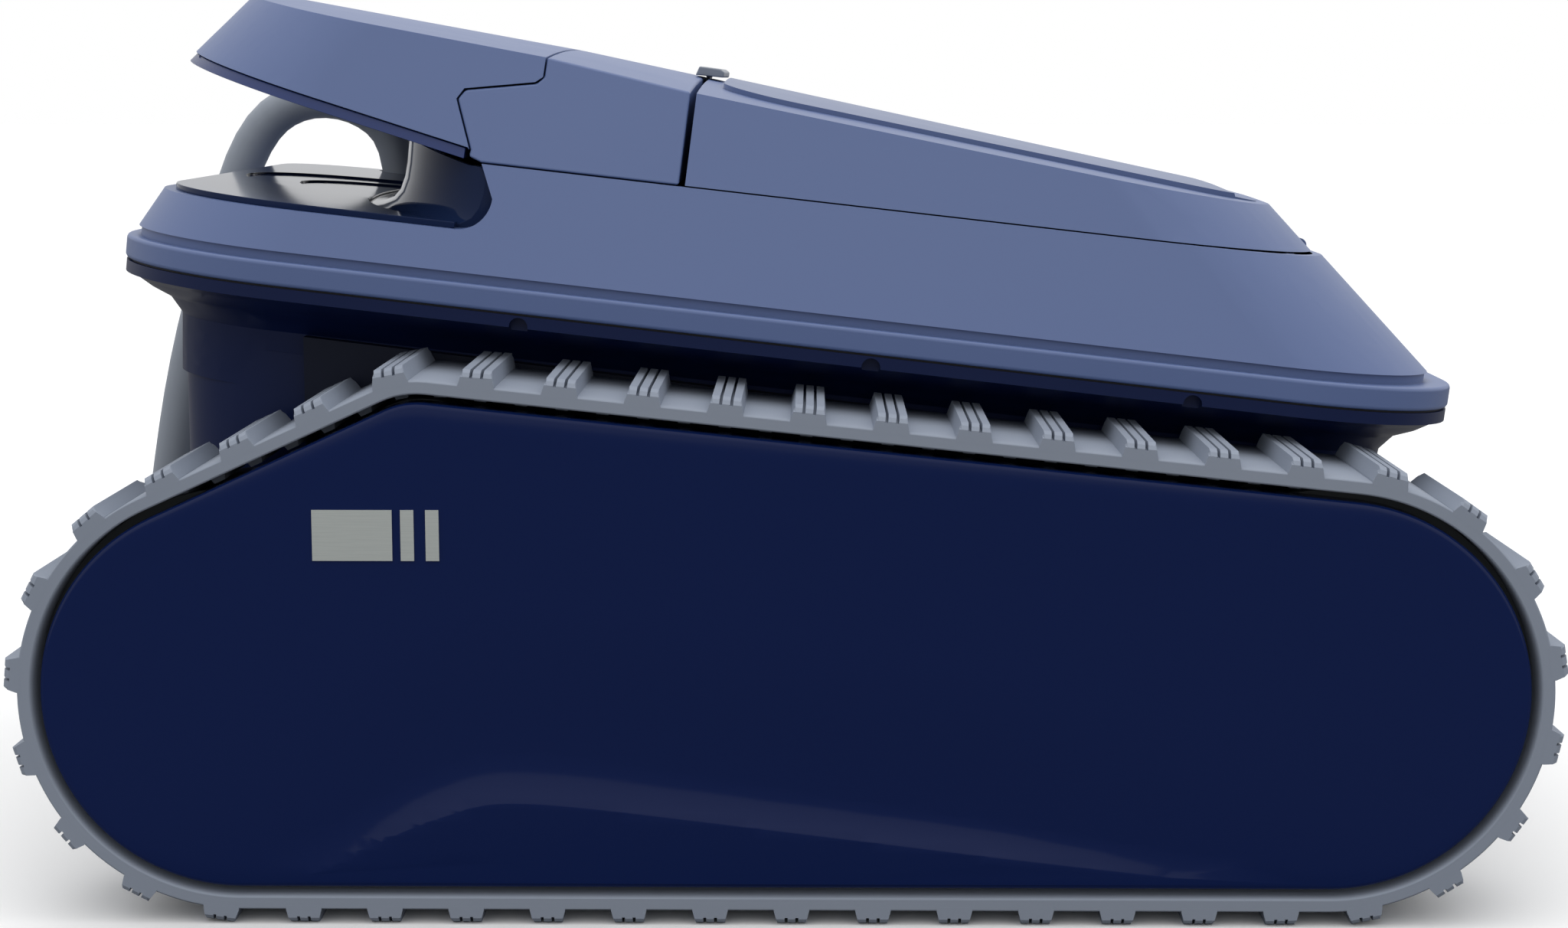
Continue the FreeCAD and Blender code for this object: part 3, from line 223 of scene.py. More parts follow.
# ------------------------------------------------------------------ finishes
class SurfaceGroups:
    """Shared shader groups, each built once."""

    made: Dict[str, bpy.types.NodeTree] = {}

    @classmethod
    def start(cls, name: str, ins: Sequence[Tuple[str, str, float]], outs: Sequence[Tuple[str, str]]
              ) -> Tuple[bpy.types.NodeTree, bpy.types.Node, bpy.types.Node]:
        """Open a new group.

        Args:
            name: Group name.
            ins: Input name, socket type, and value.
            outs: Output name and socket type.

        Returns:
            The tree, its input node, and its output node.
        """
        tree = bpy.data.node_groups.new(name, "ShaderNodeTree")
        for label, kind, value in ins:
            socket = tree.interface.new_socket(name=label, in_out="INPUT", socket_type=kind)
            if kind == "NodeSocketFloat":
                socket.default_value = value
        for label, kind in outs:
            tree.interface.new_socket(name=label, in_out="OUTPUT", socket_type=kind)
        cls.made[name] = tree
        return tree, tree.nodes.new("NodeGroupInput"), tree.nodes.new("NodeGroupOutput")

    @classmethod
    def moulded(cls) -> bpy.types.NodeTree:
        """Moulded surface: fine grain height, slow mottle of colour, and roughness drift.

        Returns:
            The group.
        """
        if "moulded_surface" in cls.made:
            return cls.made["moulded_surface"]
        tree, gin, gout = cls.start(
            "moulded_surface",
            [("Vector", "NodeSocketVector", 0), ("Base", "NodeSocketColor", 0), ("Deep", "NodeSocketColor", 0),
             ("Grain Scale", "NodeSocketFloat", 1500.0), ("Mottle", "NodeSocketFloat", 0.2),
             ("Roughness", "NodeSocketFloat", 0.4), ("Drift", "NodeSocketFloat", 0.06)],
            [("Color", "NodeSocketColor"), ("Roughness", "NodeSocketFloat"), ("Height", "NodeSocketFloat")])
        add, link = tree.nodes.new, tree.links.new
        grain, slow, drift = (add("ShaderNodeTexNoise") for _ in range(3))
        link(gin.outputs["Vector"], grain.inputs["Vector"])
        link(gin.outputs["Grain Scale"], grain.inputs["Scale"])
        grain.inputs["Detail"].default_value = 3.0
        for node, scale in ((slow, 14.0), (drift, 42.0)):
            link(gin.outputs["Vector"], node.inputs["Vector"])
            node.inputs["Scale"].default_value = scale
            node.inputs["Detail"].default_value = 4.0
        amount = add("ShaderNodeMath")
        amount.operation = "MULTIPLY"
        link(slow.outputs["Fac"], amount.inputs[0])
        link(gin.outputs["Mottle"], amount.inputs[1])
        mix = add("ShaderNodeMix")
        mix.data_type = "RGBA"
        link(amount.outputs[0], mix.inputs["Factor"])
        link(gin.outputs["Base"], mix.inputs[6])
        link(gin.outputs["Deep"], mix.inputs[7])
        centred = add("ShaderNodeMath")
        centred.operation = "SUBTRACT"
        link(drift.outputs["Fac"], centred.inputs[0])
        centred.inputs[1].default_value = 0.5
        rough = add("ShaderNodeMath")
        rough.operation = "MULTIPLY_ADD"
        link(centred.outputs[0], rough.inputs[0])
        link(gin.outputs["Drift"], rough.inputs[1])
        link(gin.outputs["Roughness"], rough.inputs[2])
        link(mix.outputs[2], gout.inputs["Color"])
        link(rough.outputs[0], gout.inputs["Roughness"])
        link(grain.outputs["Fac"], gout.inputs["Height"])
        return tree

    @classmethod
    def brushed(cls) -> bpy.types.NodeTree:
        """Brushed metal: fine streaks along X.

        Returns:
            The group.
        """
        if "brushed_metal" in cls.made:
            return cls.made["brushed_metal"]
        tree, gin, gout = cls.start(
            "brushed_metal", [("Vector", "NodeSocketVector", 0), ("Base", "NodeSocketColor", 0),
                              ("Deep", "NodeSocketColor", 0), ("Roughness", "NodeSocketFloat", 0.3)],
            [("Color", "NodeSocketColor"), ("Roughness", "NodeSocketFloat"), ("Height", "NodeSocketFloat")])
        add, link = tree.nodes.new, tree.links.new
        stretch, streak, mix, rough = (add("ShaderNodeMapping"), add("ShaderNodeTexNoise"), add("ShaderNodeMix"),
                                       add("ShaderNodeMath"))
        stretch.inputs["Scale"].default_value = (60.0, 2600.0, 2600.0)
        streak.inputs["Scale"].default_value = 1.0
        streak.inputs["Detail"].default_value = 3.0
        mix.data_type = "RGBA"
        rough.operation = "MULTIPLY_ADD"
        rough.inputs[1].default_value = 0.16
        link(gin.outputs["Vector"], stretch.inputs["Vector"])
        link(stretch.outputs[0], streak.inputs["Vector"])
        link(streak.outputs["Fac"], mix.inputs["Factor"])
        link(gin.outputs["Base"], mix.inputs[6])
        link(gin.outputs["Deep"], mix.inputs[7])
        link(streak.outputs["Fac"], rough.inputs[0])
        link(gin.outputs["Roughness"], rough.inputs[2])
        link(mix.outputs[2], gout.inputs["Color"])
        link(rough.outputs[0], gout.inputs["Roughness"])
        link(streak.outputs["Fac"], gout.inputs["Height"])
        return tree


def grained_paint(name: str, group_tree: bpy.types.NodeTree, values: Dict[str, object], strength: float,
                  depth: float) -> Tuple[bpy.types.Material, bpy.types.Node]:
    """Material whose colour, roughness and fine height come from a surface group.

    Args:
        name: Material name.
        group_tree: The surface group.
        values: Value of each of the group's inputs.
        strength: Strength of the fine height.
        depth: Depth of the fine height.

    Returns:
        The material and its shader.
    """
    paint = bpy.data.materials.new(name)
    paint.use_nodes = True
    tree = paint.node_tree
    shader = tree.nodes["Principled BSDF"]
    where, group, bump = (tree.nodes.new("ShaderNodeTexCoord"), tree.nodes.new("ShaderNodeGroup"),
                          tree.nodes.new("ShaderNodeBump"))
    group.node_tree = group_tree
    for label, value in values.items():
        group.inputs[label].default_value = value
    bump.inputs["Strength"].default_value = strength
    bump.inputs["Distance"].default_value = depth
    tree.links.new(where.outputs["Object"], group.inputs["Vector"])
    tree.links.new(group.outputs["Color"], shader.inputs["Base Color"])
    tree.links.new(group.outputs["Roughness"], shader.inputs["Roughness"])
    tree.links.new(group.outputs["Height"], bump.inputs["Height"])
    tree.links.new(bump.outputs["Normal"], shader.inputs["Normal"])
    return paint, shader


@dataclass(frozen=True)
class MouldedFinish:
    """Plastic or rubber with its own grain."""

    name: str
    base: Colour
    deep: Colour
    roughness: float
    grain_scale: float = 1500.0
    grain_depth: float = 0.00002
    grain_strength: float = 0.15
    mottle: float = 0.25
    drift: float = 0.06
    specular: float = 0.5

    def make(self) -> bpy.types.Material:
        """Build the material.

        Returns:
            The material.
        """
        values = {"Base": (*self.base, 1.0), "Deep": (*self.deep, 1.0), "Grain Scale": self.grain_scale,
                  "Mottle": self.mottle, "Roughness": self.roughness, "Drift": self.drift}
        paint, shader = grained_paint(self.name, SurfaceGroups.moulded(), values, self.grain_strength, self.grain_depth)
        shader.inputs["Specular IOR Level"].default_value = self.specular
        return paint


@dataclass(frozen=True)
class BrushedFinish:
    """Bare metal with fine brushing."""

    name: str
    base: Colour
    deep: Colour
    roughness: float
    streak_strength: float = 0.2
    streak_depth: float = 0.00002

    def make(self) -> bpy.types.Material:
        """Build the material.

        Returns:
            The material.
        """
        values = {"Base": (*self.base, 1.0), "Deep": (*self.deep, 1.0), "Roughness": self.roughness}
        paint, shader = grained_paint(self.name, SurfaceGroups.brushed(), values, self.streak_strength,
                                      self.streak_depth)
        shader.inputs["Metallic"].default_value = 1.0
        return paint


@dataclass(frozen=True)
class WovenFinish:
    """Fine woven mesh whose holes let light through."""

    name: str
    base: Colour
    pitch: float

    def make(self) -> bpy.types.Material:
        """Build the material.

        Returns:
            The material.
        """
        paint = bpy.data.materials.new(self.name)
        paint.use_nodes = True
        tree = paint.node_tree
        shader = tree.nodes["Principled BSDF"]
        where, split = tree.nodes.new("ShaderNodeTexCoord"), tree.nodes.new("ShaderNodeSeparateXYZ")
        tree.links.new(where.outputs["Object"], split.inputs[0])
        waves = []
        for axis in ("X", "Y", "Z"):
            turn, wave = tree.nodes.new("ShaderNodeMath"), tree.nodes.new("ShaderNodeMath")
            turn.operation, wave.operation = "MULTIPLY", "SINE"
            turn.inputs[1].default_value = 2 * math.pi / self.pitch
            tree.links.new(split.outputs[axis], turn.inputs[0])
            tree.links.new(turn.outputs[0], wave.inputs[0])
            waves.append(wave)
        top = waves[0]
        for other in waves[1:]:
            both = tree.nodes.new("ShaderNodeMath")
            both.operation = "MAXIMUM"
            tree.links.new(top.outputs[0], both.inputs[0])
            tree.links.new(other.outputs[0], both.inputs[1])
            top = both
        bump, solid = tree.nodes.new("ShaderNodeBump"), tree.nodes.new("ShaderNodeMapRange")
        solid.inputs["From Min"].default_value, solid.inputs["From Max"].default_value = -0.1, 0.2
        solid.inputs["To Min"].default_value = 0.35
        bump.inputs["Distance"].default_value = 0.0002
        tree.links.new(top.outputs[0], solid.inputs["Value"])
        tree.links.new(solid.outputs[0], shader.inputs["Alpha"])
        tree.links.new(top.outputs[0], bump.inputs["Height"])
        tree.links.new(bump.outputs["Normal"], shader.inputs["Normal"])
        shader.inputs["Base Color"].default_value = (*self.base, 1.0)
        shader.inputs["Roughness"].default_value = 0.7
        return paint


FINISHES: Dict[str, object] = {
    "navy_tub": MouldedFinish("tub_navy_satin", (0.0035, 0.0105, 0.054), (0.003, 0.0085, 0.044), 0.36, specular=0.2),
    "navy_frame": MouldedFinish("frame_navy_satin", (0.003, 0.006, 0.02), (0.002, 0.005, 0.016), 0.45, specular=0.2),
    "navy_cover": MouldedFinish("cover_navy_gloss", (0.0025, 0.0115, 0.073), (0.0021, 0.0100, 0.064), 0.12,
                                grain_strength=0.03, mottle=0.3, drift=0.02, specular=0.2),
    "blue_shell": MouldedFinish("shell_slate_satin", (0.092, 0.138, 0.298), (0.082, 0.124, 0.272), 0.40,
                                grain_strength=0.10, specular=0.5),
    "blue_roof": MouldedFinish("roof_slate_satin", (0.080, 0.122, 0.262), (0.072, 0.110, 0.240), 0.34,
                               grain_strength=0.08, specular=0.6),
    "ledge_gloss": MouldedFinish("ledge_gloss_navy", (0.010, 0.020, 0.062), (0.008, 0.016, 0.05), 0.07,
                                 grain_strength=0.02, drift=0.02, specular=0.08),
    "lip_navy": MouldedFinish("lip_navy_satin", (0.010, 0.028, 0.13), (0.008, 0.022, 0.11), 0.3, specular=0.4),
    "track_rubber": MouldedFinish("belt_grey_rubber", (0.27, 0.305, 0.372), (0.24, 0.272, 0.335), 0.62,
                                  grain_scale=1100.0, grain_depth=0.00004, grain_strength=0.3, mottle=0.45,
                                  specular=0.25),
    "wheel_grey": MouldedFinish("wheel_charcoal", (0.028, 0.034, 0.037), (0.02, 0.025, 0.028), 0.55),
    "seal_rubber": MouldedFinish("seal_black_rubber", (0.008, 0.008, 0.01), (0.006, 0.006, 0.008), 0.6),
    "dark_plastic": MouldedFinish("charcoal_plastic", (0.02, 0.022, 0.028), (0.014, 0.016, 0.02), 0.5),
    "grey_plastic": MouldedFinish("mid_grey_plastic", (0.16, 0.17, 0.18), (0.13, 0.14, 0.15), 0.5),
    "basket_plastic": MouldedFinish("basket_blue_grey", (0.05, 0.07, 0.12), (0.04, 0.056, 0.10), 0.48),
    "mesh_fabric": WovenFinish("filter_weave", (0.5, 0.52, 0.53), 0.0012),
    "screw_steel": BrushedFinish("screw_stainless", (0.62, 0.62, 0.61), (0.5, 0.5, 0.5), 0.28),
    "axle_steel": BrushedFinish("axle_stainless", (0.58, 0.58, 0.58), (0.45, 0.45, 0.46), 0.3),
    "gear_steel": BrushedFinish("gear_machined", (0.5, 0.5, 0.5), (0.38, 0.38, 0.39), 0.34),
    "motor_steel": MouldedFinish("motor_black_coat", (0.05, 0.05, 0.055), (0.035, 0.035, 0.04), 0.4),
    "board": MouldedFinish("board_green", (0.02, 0.12, 0.06), (0.012, 0.08, 0.04), 0.45, grain_scale=600.0),
    "latch_grey": MouldedFinish("latch_grey_satin", (0.21, 0.235, 0.28), (0.18, 0.2, 0.245), 0.35),
    "cable_grey": MouldedFinish("cable_grey_jacket", (0.29, 0.32, 0.37), (0.235, 0.265, 0.315), 0.5,
                                grain_scale=900.0, grain_strength=0.25, mottle=0.5, specular=0.35),
    "tie_black": MouldedFinish("tie_black_webbing", (0.012, 0.012, 0.013), (0.03, 0.03, 0.032), 0.8,
                               grain_scale=700.0, grain_depth=0.0002, grain_strength=0.7, mottle=0.9),
    "connector_black": MouldedFinish("connector_black", (0.014, 0.014, 0.016), (0.02, 0.02, 0.022), 0.42),
    "badge_metal": BrushedFinish("badge_brushed", (0.78, 0.82, 0.79), (0.56, 0.6, 0.58), 0.3),
    "brush_blue": MouldedFinish("brush_soft_blue", (0.03, 0.055, 0.13), (0.02, 0.04, 0.10), 0.6),
}


@dataclass
class Workshop:
    """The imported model, its finishes, and the mesh work that every sub-assembly shares."""

    frame: dict
    paints: Dict[str, bpy.types.Material] = field(default_factory=dict)
    slots: Dict[str, str] = field(default_factory=dict)
    bodies: Dict[str, str] = field(default_factory=dict)

    def __post_init__(self) -> None:
        """Read which slot and body each node has."""
        record = self.frame["record"]
        self.slots = {s["node"]: s["material_slot"] for s in record["subparts"]}
        for body, nodes in record["behaviour"]["bodies"].items():
            for node in nodes:
                self.bodies[node] = body

    def paint(self, slot: str) -> bpy.types.Material:
        """Material of a slot, made once."""
        if slot not in self.paints:
            self.paints[slot] = FINISHES[slot].make()
        return self.paints[slot]

    def dress_nodes(self) -> None:
        """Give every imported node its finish."""
        for name, node in self.frame["nodes"].items():
            paint = self.paint(self.slots[name])
            for i in range(max(1, len(node.material_slots))):
                if i < len(node.material_slots):
                    node.material_slots[i].material = paint
                else:
                    node.data.materials.append(paint)

    def piece(self, name: str, mesh: bpy.types.Mesh, slot: str) -> bpy.types.Object:
        """Make a finished piece from a mesh.

        Args:
            name: Piece name.
            mesh: Its mesh, in place.
            slot: The material slot it takes.

        Returns:
            The object.
        """
        thing = add_object(name, mesh)
        if not mesh.materials:
            mesh.materials.append(self.paint(slot))
        return thing

    def settle(self, thing: bpy.types.Object) -> bpy.types.Object:
        """Turn a piece's modifiers into plain mesh.

        Args:
            thing: The piece.

        Returns:
            The same object, with no modifiers.
        """
        done = evaluated_mesh(thing)
        thing.modifiers.clear()
        thing.data = done
        return thing

    def hand_over(self, thing: bpy.types.Object, slot: str, *nodes: str) -> bpy.types.Object:
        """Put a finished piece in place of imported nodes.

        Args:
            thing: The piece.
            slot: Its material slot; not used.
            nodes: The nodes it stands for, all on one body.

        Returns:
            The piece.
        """
        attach(thing, self.bodies[nodes[0]])
        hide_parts(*nodes)
        LOG.info("%s stands for %s, %d faces", thing.name, ", ".join(nodes), len(thing.data.polygons))
        return thing

    def eased_copy(self, node: str, width: float, segments: int = 3, angle: float = 30.0) -> bpy.types.Object:
        """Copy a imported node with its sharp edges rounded, as a moulding tool leaves them.

        Args:
            node: The node.
            width: Edge rounding.
            segments: Faces across each rounding.
            angle: Edges sharper than this many degrees are rounded.

        Returns:
            The finished copy, already standing for the node.
        """
        source = self.frame["nodes"][node].data
        mesh = bpy.data.meshes.new("finished_" + node)
        mesh.from_pydata([v.co[:] for v in source.vertices], [], [p.vertices[:] for p in source.polygons])
        work = bmesh.new()
        work.from_mesh(mesh)
        bmesh.ops.remove_doubles(work, verts=work.verts, dist=4e-6)
        bmesh.ops.dissolve_degenerate(work, dist=2e-6, edges=work.edges)
        bmesh.ops.dissolve_limit(work, angle_limit=math.radians(0.4), verts=work.verts, edges=work.edges)
        for face in work.faces:
            face.smooth = True
        work.to_mesh(mesh)
        work.free()
        copy = self.piece("finished_" + node, mesh, self.slots[node])
        edge = copy.modifiers.new("rounding", "BEVEL")
        edge.width, edge.segments, edge.limit_method = width, segments, "ANGLE"
        edge.angle_limit, edge.use_clamp_overlap = math.radians(angle), True
        evened = copy.modifiers.new("even_shading", "WEIGHTED_NORMAL")
        evened.keep_sharp, evened.weight = True, 80
        self.settle(copy)
        return self.hand_over(copy, self.slots[node], node)


# ------------------------------------------------------------------ cable
@dataclass
class PowerCable:
    """Floating cable: free run, neat coil behind the cleaner, gland, tie, and connector."""

    radius: float = 0.008
    coil_centre: Flat = (-0.030, 0.372)
    columns: Tuple[float, ...] = (0.144, 0.128, 0.112, 0.096)
    low: float = 0.0092
    step_deg: float = 15.0
    route: Tuple[Point, ...] = (
        (-0.1573, 0.124, 0.209), (-0.1573, 0.124, 0.231), (-0.176, 0.125, 0.2466), (-0.2005, 0.127, 0.2475),
        (-0.2195, 0.129, 0.232), (-0.2335, 0.130, 0.191), (-0.249, 0.132, 0.139), (-0.2595, 0.137, 0.084),
        (-0.2685, 0.150, 0.038), (-0.266, 0.173, 0.0105), (-0.255, 0.208, 0.0082), (-0.232, 0.240, 0.0084),
        (-0.203, 0.270, 0.0082), (-0.184, 0.310, 0.0086))

    def turns(self) -> List[Point]:
        """Points of the coil, wound clockwise in four columns, up and down by turns.

        Each column steps one diameter up or down over 40 degrees once a turn, and crosses to the next column
        just before the place of its last step.

        Returns:
            The points.
        """
        start, d = 187.7, 2 * self.radius
        moves: List[Tuple[float, float, float, float]] = []
        level, wound = 0, 0.0
        for c in range(len(self.columns)):
            zone = 320.0 - 80.0 * c
            for _ in range(3):
                at = wound - wound % 360.0 + zone
                at = at if at >= wound - 1e-6 else at + 360.0
                moves.append((at, at + 40.0, c, 1 if c % 2 == 0 else -1))
                wound = at + 40.0
            if c + 1 < len(self.columns):
                at = wound - wound % 360.0 + zone - 40.0
                at = at if at >= wound - 1e-6 else at + 360.0
                moves.append((at, at + 40.0, -1, 0))
                wound = at + 40.0
        end = wound - wound % 360.0 + 7.7
        end = end if end >= wound else end + 360.0
        out, a = [], 0.0
        swell = 1.0 / math.cos(math.radians(self.step_deg / 2))
        while a < end - 1e-6:
            column, height = 0.0, float(level)
            for low, high, c, climb in moves:
                share = min(max((a - low) / (high - low), 0.0), 1.0)
                share = share * share * (3 - 2 * share)
                if climb == 0:
                    column += share
                else:
                    height += climb * share
            i = min(int(column), len(self.columns) - 2)
            r = (self.columns[i] + (self.columns[i + 1] - self.columns[i]) * (column - i)) * swell
            t = math.radians(start - a)
            out.append((self.coil_centre[0] + r * math.cos(t), self.coil_centre[1] + r * math.sin(t),
                        self.low + height * d))
            a += self.step_deg
        return out

    def tail(self) -> List[Point]:
        """Points of the quarter turn in to the connector."""
        cx, cy = self.coil_centre[0] - 0.046, self.coil_centre[1]
        out = []
        for k in range(7):
            t = math.radians(180.0 - 15.0 * k)
            r = 0.050 / (math.cos(math.radians(7.5)) if 0 < k < 6 else 1.0)
            out.append((cx + r * math.cos(t), cy + r * math.sin(t), self.low + 0.003 * max(0.0, (k - 3) / 3.0)))
        return out

    def make(self, shop: Workshop) -> None:
        points = [*self.route, *self.turns(), *self.tail()]
        curve = bpy.data.curves.new("float_cable_line", "CURVE")
        curve.dimensions, curve.bevel_depth, curve.bevel_resolution, curve.resolution_u = "3D", self.radius, 5, 4
        curve.use_fill_caps = True
        spline = curve.splines.new("NURBS")
        spline.points.add(len(points) - 1)
        for knot, (x, y, z) in zip(spline.points, points):
            knot.co = (x, y, z, 1.0)
        spline.order_u = 3
        spline.use_endpoint_u = True
        curve.materials.append(shop.paint("cable_grey"))
        cable = add_object("float_cable_line", curve)
        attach(cable, shop.bodies["float_cable"])
        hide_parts("float_cable", "cable_coil")
        gland = self.gland(shop)
        connector = self.connector(shop)
        tie = shop.eased_copy("coil_tie", 0.0006)
        LOG.info("cable of %d points", len(points))

    def turned(self, profile: Sequence[Flat], count: int = 40) -> bpy.types.Mesh:
        """Closed solid of revolution round Z.

        Args:
            profile: (radius, height) from its lower pole to its upper pole.
            count: Faces round it.

        Returns:
            The mesh.
        """
        work = bmesh.new()
        rings = [circle(work, r, z, count) for r, z in profile[1:-1]]
        ends = [work.verts.new((0, 0, profile[0][1])), work.verts.new((0, 0, profile[-1][1]))]
        for a, b in zip(rings, rings[1:]):
            for i in range(count):
                j = (i + 1) % count
                work.faces.new((a[i], a[j], b[j], b[i]))
        for i in range(count):
            j = (i + 1) % count
            work.faces.new((ends[0], rings[0][j], rings[0][i]))
            work.faces.new((ends[1], rings[-1][i], rings[-1][j]))
        for face in work.faces:
            face.smooth = True
        bmesh.ops.recalc_face_normals(work, faces=work.faces)
        return mesh_from(work, "turned")

    def gland(self, shop: Workshop) -> bpy.types.Object:
        """Strain relief with three soft ribs where the cable leaves the ledge."""
        x, y, top = self.route[0]
        r, low = 0.0094, top - 0.015
        profile = [(0, low), (0.0118, low), (0.0118, low + 0.0028), (r, low + 0.0032), (r, top - 0.0105)]
        for k in range(3):
            z = top - 0.0095 + 0.0031 * k
            profile += [(r, z), (r, z + 0.0016), (r - 0.0008, z + 0.0020), (r - 0.0008, z + 0.0026)]
        profile += [(0.0086, top - 0.0002), (0.0080, top), (0, top)]
        mesh = self.turned(profile)
        mesh.transform(Matrix.Translation((x, y, 0.0)))
        return shop.hand_over(shop.piece("ribbed_gland", mesh, "cable_grey"), "cable_grey", "cable_gland")

    def connector(self, shop: Workshop) -> bpy.types.Object:
        """Waterproof connector with a ribbed grip, a knurled collar, and two pins."""
        profile = [(0, -0.014), (0.0081, -0.014), (0.0092, -0.008), (0.0104, -0.001)]
        for k in range(7):
            z = 0.001 + 0.0034 * k
            profile += [(0.0110, z), (0.0110, z + 0.0020), (0.0104, z + 0.0024), (0.0104, z + 0.0030)]
        profile += [(0.0110, 0.0260), (0.0110, 0.0295), (0.0120, 0.0300), (0.0120, 0.0418), (0.0117, 0.0420),
                    (0.0098, 0.0420), (0.0096, 0.0416), (0.0096, 0.0345), (0, 0.0345)]
        mesh = self.turned(profile, 48)
        work = bmesh.new()
        work.from_mesh(mesh)
        for v in work.verts:
            r = math.hypot(v.co.x, v.co.y)
            if abs(r - 0.0120) < 1e-5:
                dent = 1.0 - 0.025 * (round(math.atan2(v.co.y, v.co.x) * 48 / (2 * math.pi)) % 2)
                v.co.x, v.co.y = v.co.x * dent, v.co.y * dent
        for dy in (-0.0035, 0.0035):
            made = bmesh.ops.create_cone(work, cap_ends=True, segments=16, radius1=0.0016, radius2=0.0013, depth=0.0065,
                                         matrix=Matrix.Translation((0.0, dy, 0.0372)))
            for v in made["verts"]:
                for face in v.link_faces:
                    face.smooth = len(face.verts) == 4
        work.to_mesh(mesh)
        work.free()
        turn = Matrix.Rotation(math.radians(90), 4, "Y")
        place = Matrix.Translation((self.coil_centre[0] - 0.032, self.coil_centre[1] + 0.050, self.low + 0.003))
        mesh.transform(place @ turn)
        piece = shop.piece("ribbed_connector", mesh, "connector_black")
        return shop.hand_over(piece, "connector_black", "cable_connector")


# ------------------------------------------------------------------ belts and covers
@dataclass
class BeltLine:
    """The belt's closed line: two big wheels and an upper roller, from the middle of the lower run."""

    wheel: Flat = (0.165, 0.0709)
    wheel_r: float = 0.0622
    roller: Flat = (-0.10915, 0.1369)
    roller_r: float = 0.0255
    pitch_off: float = 0.000821

    def bearing(self, a: Flat, ra: float, b: Flat, rb: float) -> float:
        """Direction of the outward normal of the outer tangent from circle a to circle b."""
        dx, dz = a[0] - b[0], a[1] - b[1]
        return math.atan2(dz, dx) + math.acos((rb - ra) / math.hypot(dx, dz))

    def outline(self, off: float, step: float = 0.0022) -> List[Tuple[float, float, float, float]]:
        """Closed run of points at an outward offset, each with its outward normal.

        Args:
            off: Offset from the belt's inner line.
            step: Longest gap between points on an arc of the big wheels.

        Returns:
            (x, z, normal x, normal z) for each point.
        """
        rear = (-self.wheel[0], self.wheel[1])
        top = self.bearing(self.wheel, self.wheel_r, self.roller, self.roller_r)
        ramp = self.bearing(self.roller, self.roller_r, rear, self.wheel_r)
        out = [(0.0, self.wheel[1] - self.wheel_r - off, 0.0, -1.0)]
        for (cx, cz), r, a0, a1 in ((self.wheel, self.wheel_r, -math.pi / 2, top),
                                    (self.roller, self.roller_r, top, ramp),
                                    (rear, self.wheel_r, ramp, 1.5 * math.pi)):
            count = max(6, int(r * (a1 - a0) / step))
            for k in range(count + 1):
                a = a0 + (a1 - a0) * k / count
                out.append((cx + (r + off) * math.cos(a), cz + (r + off) * math.sin(a), math.cos(a), math.sin(a)))
        return out

    def span(self, x: float, off: float) -> Flat:
        """Lowest and highest z of the outline at x."""
        ring = self.outline(off)
        hits = []
        for (x0, z0, _, _), (x1, z1, _, _) in zip(ring, ring[1:] + ring[:1]):
            if (x0 - x) * (x1 - x) <= 0 and x0 != x1:
                hits.append(z0 + (z1 - z0) * (x - x0) / (x1 - x0))
        return (min(hits), max(hits)) if hits else (0.0, 0.0)


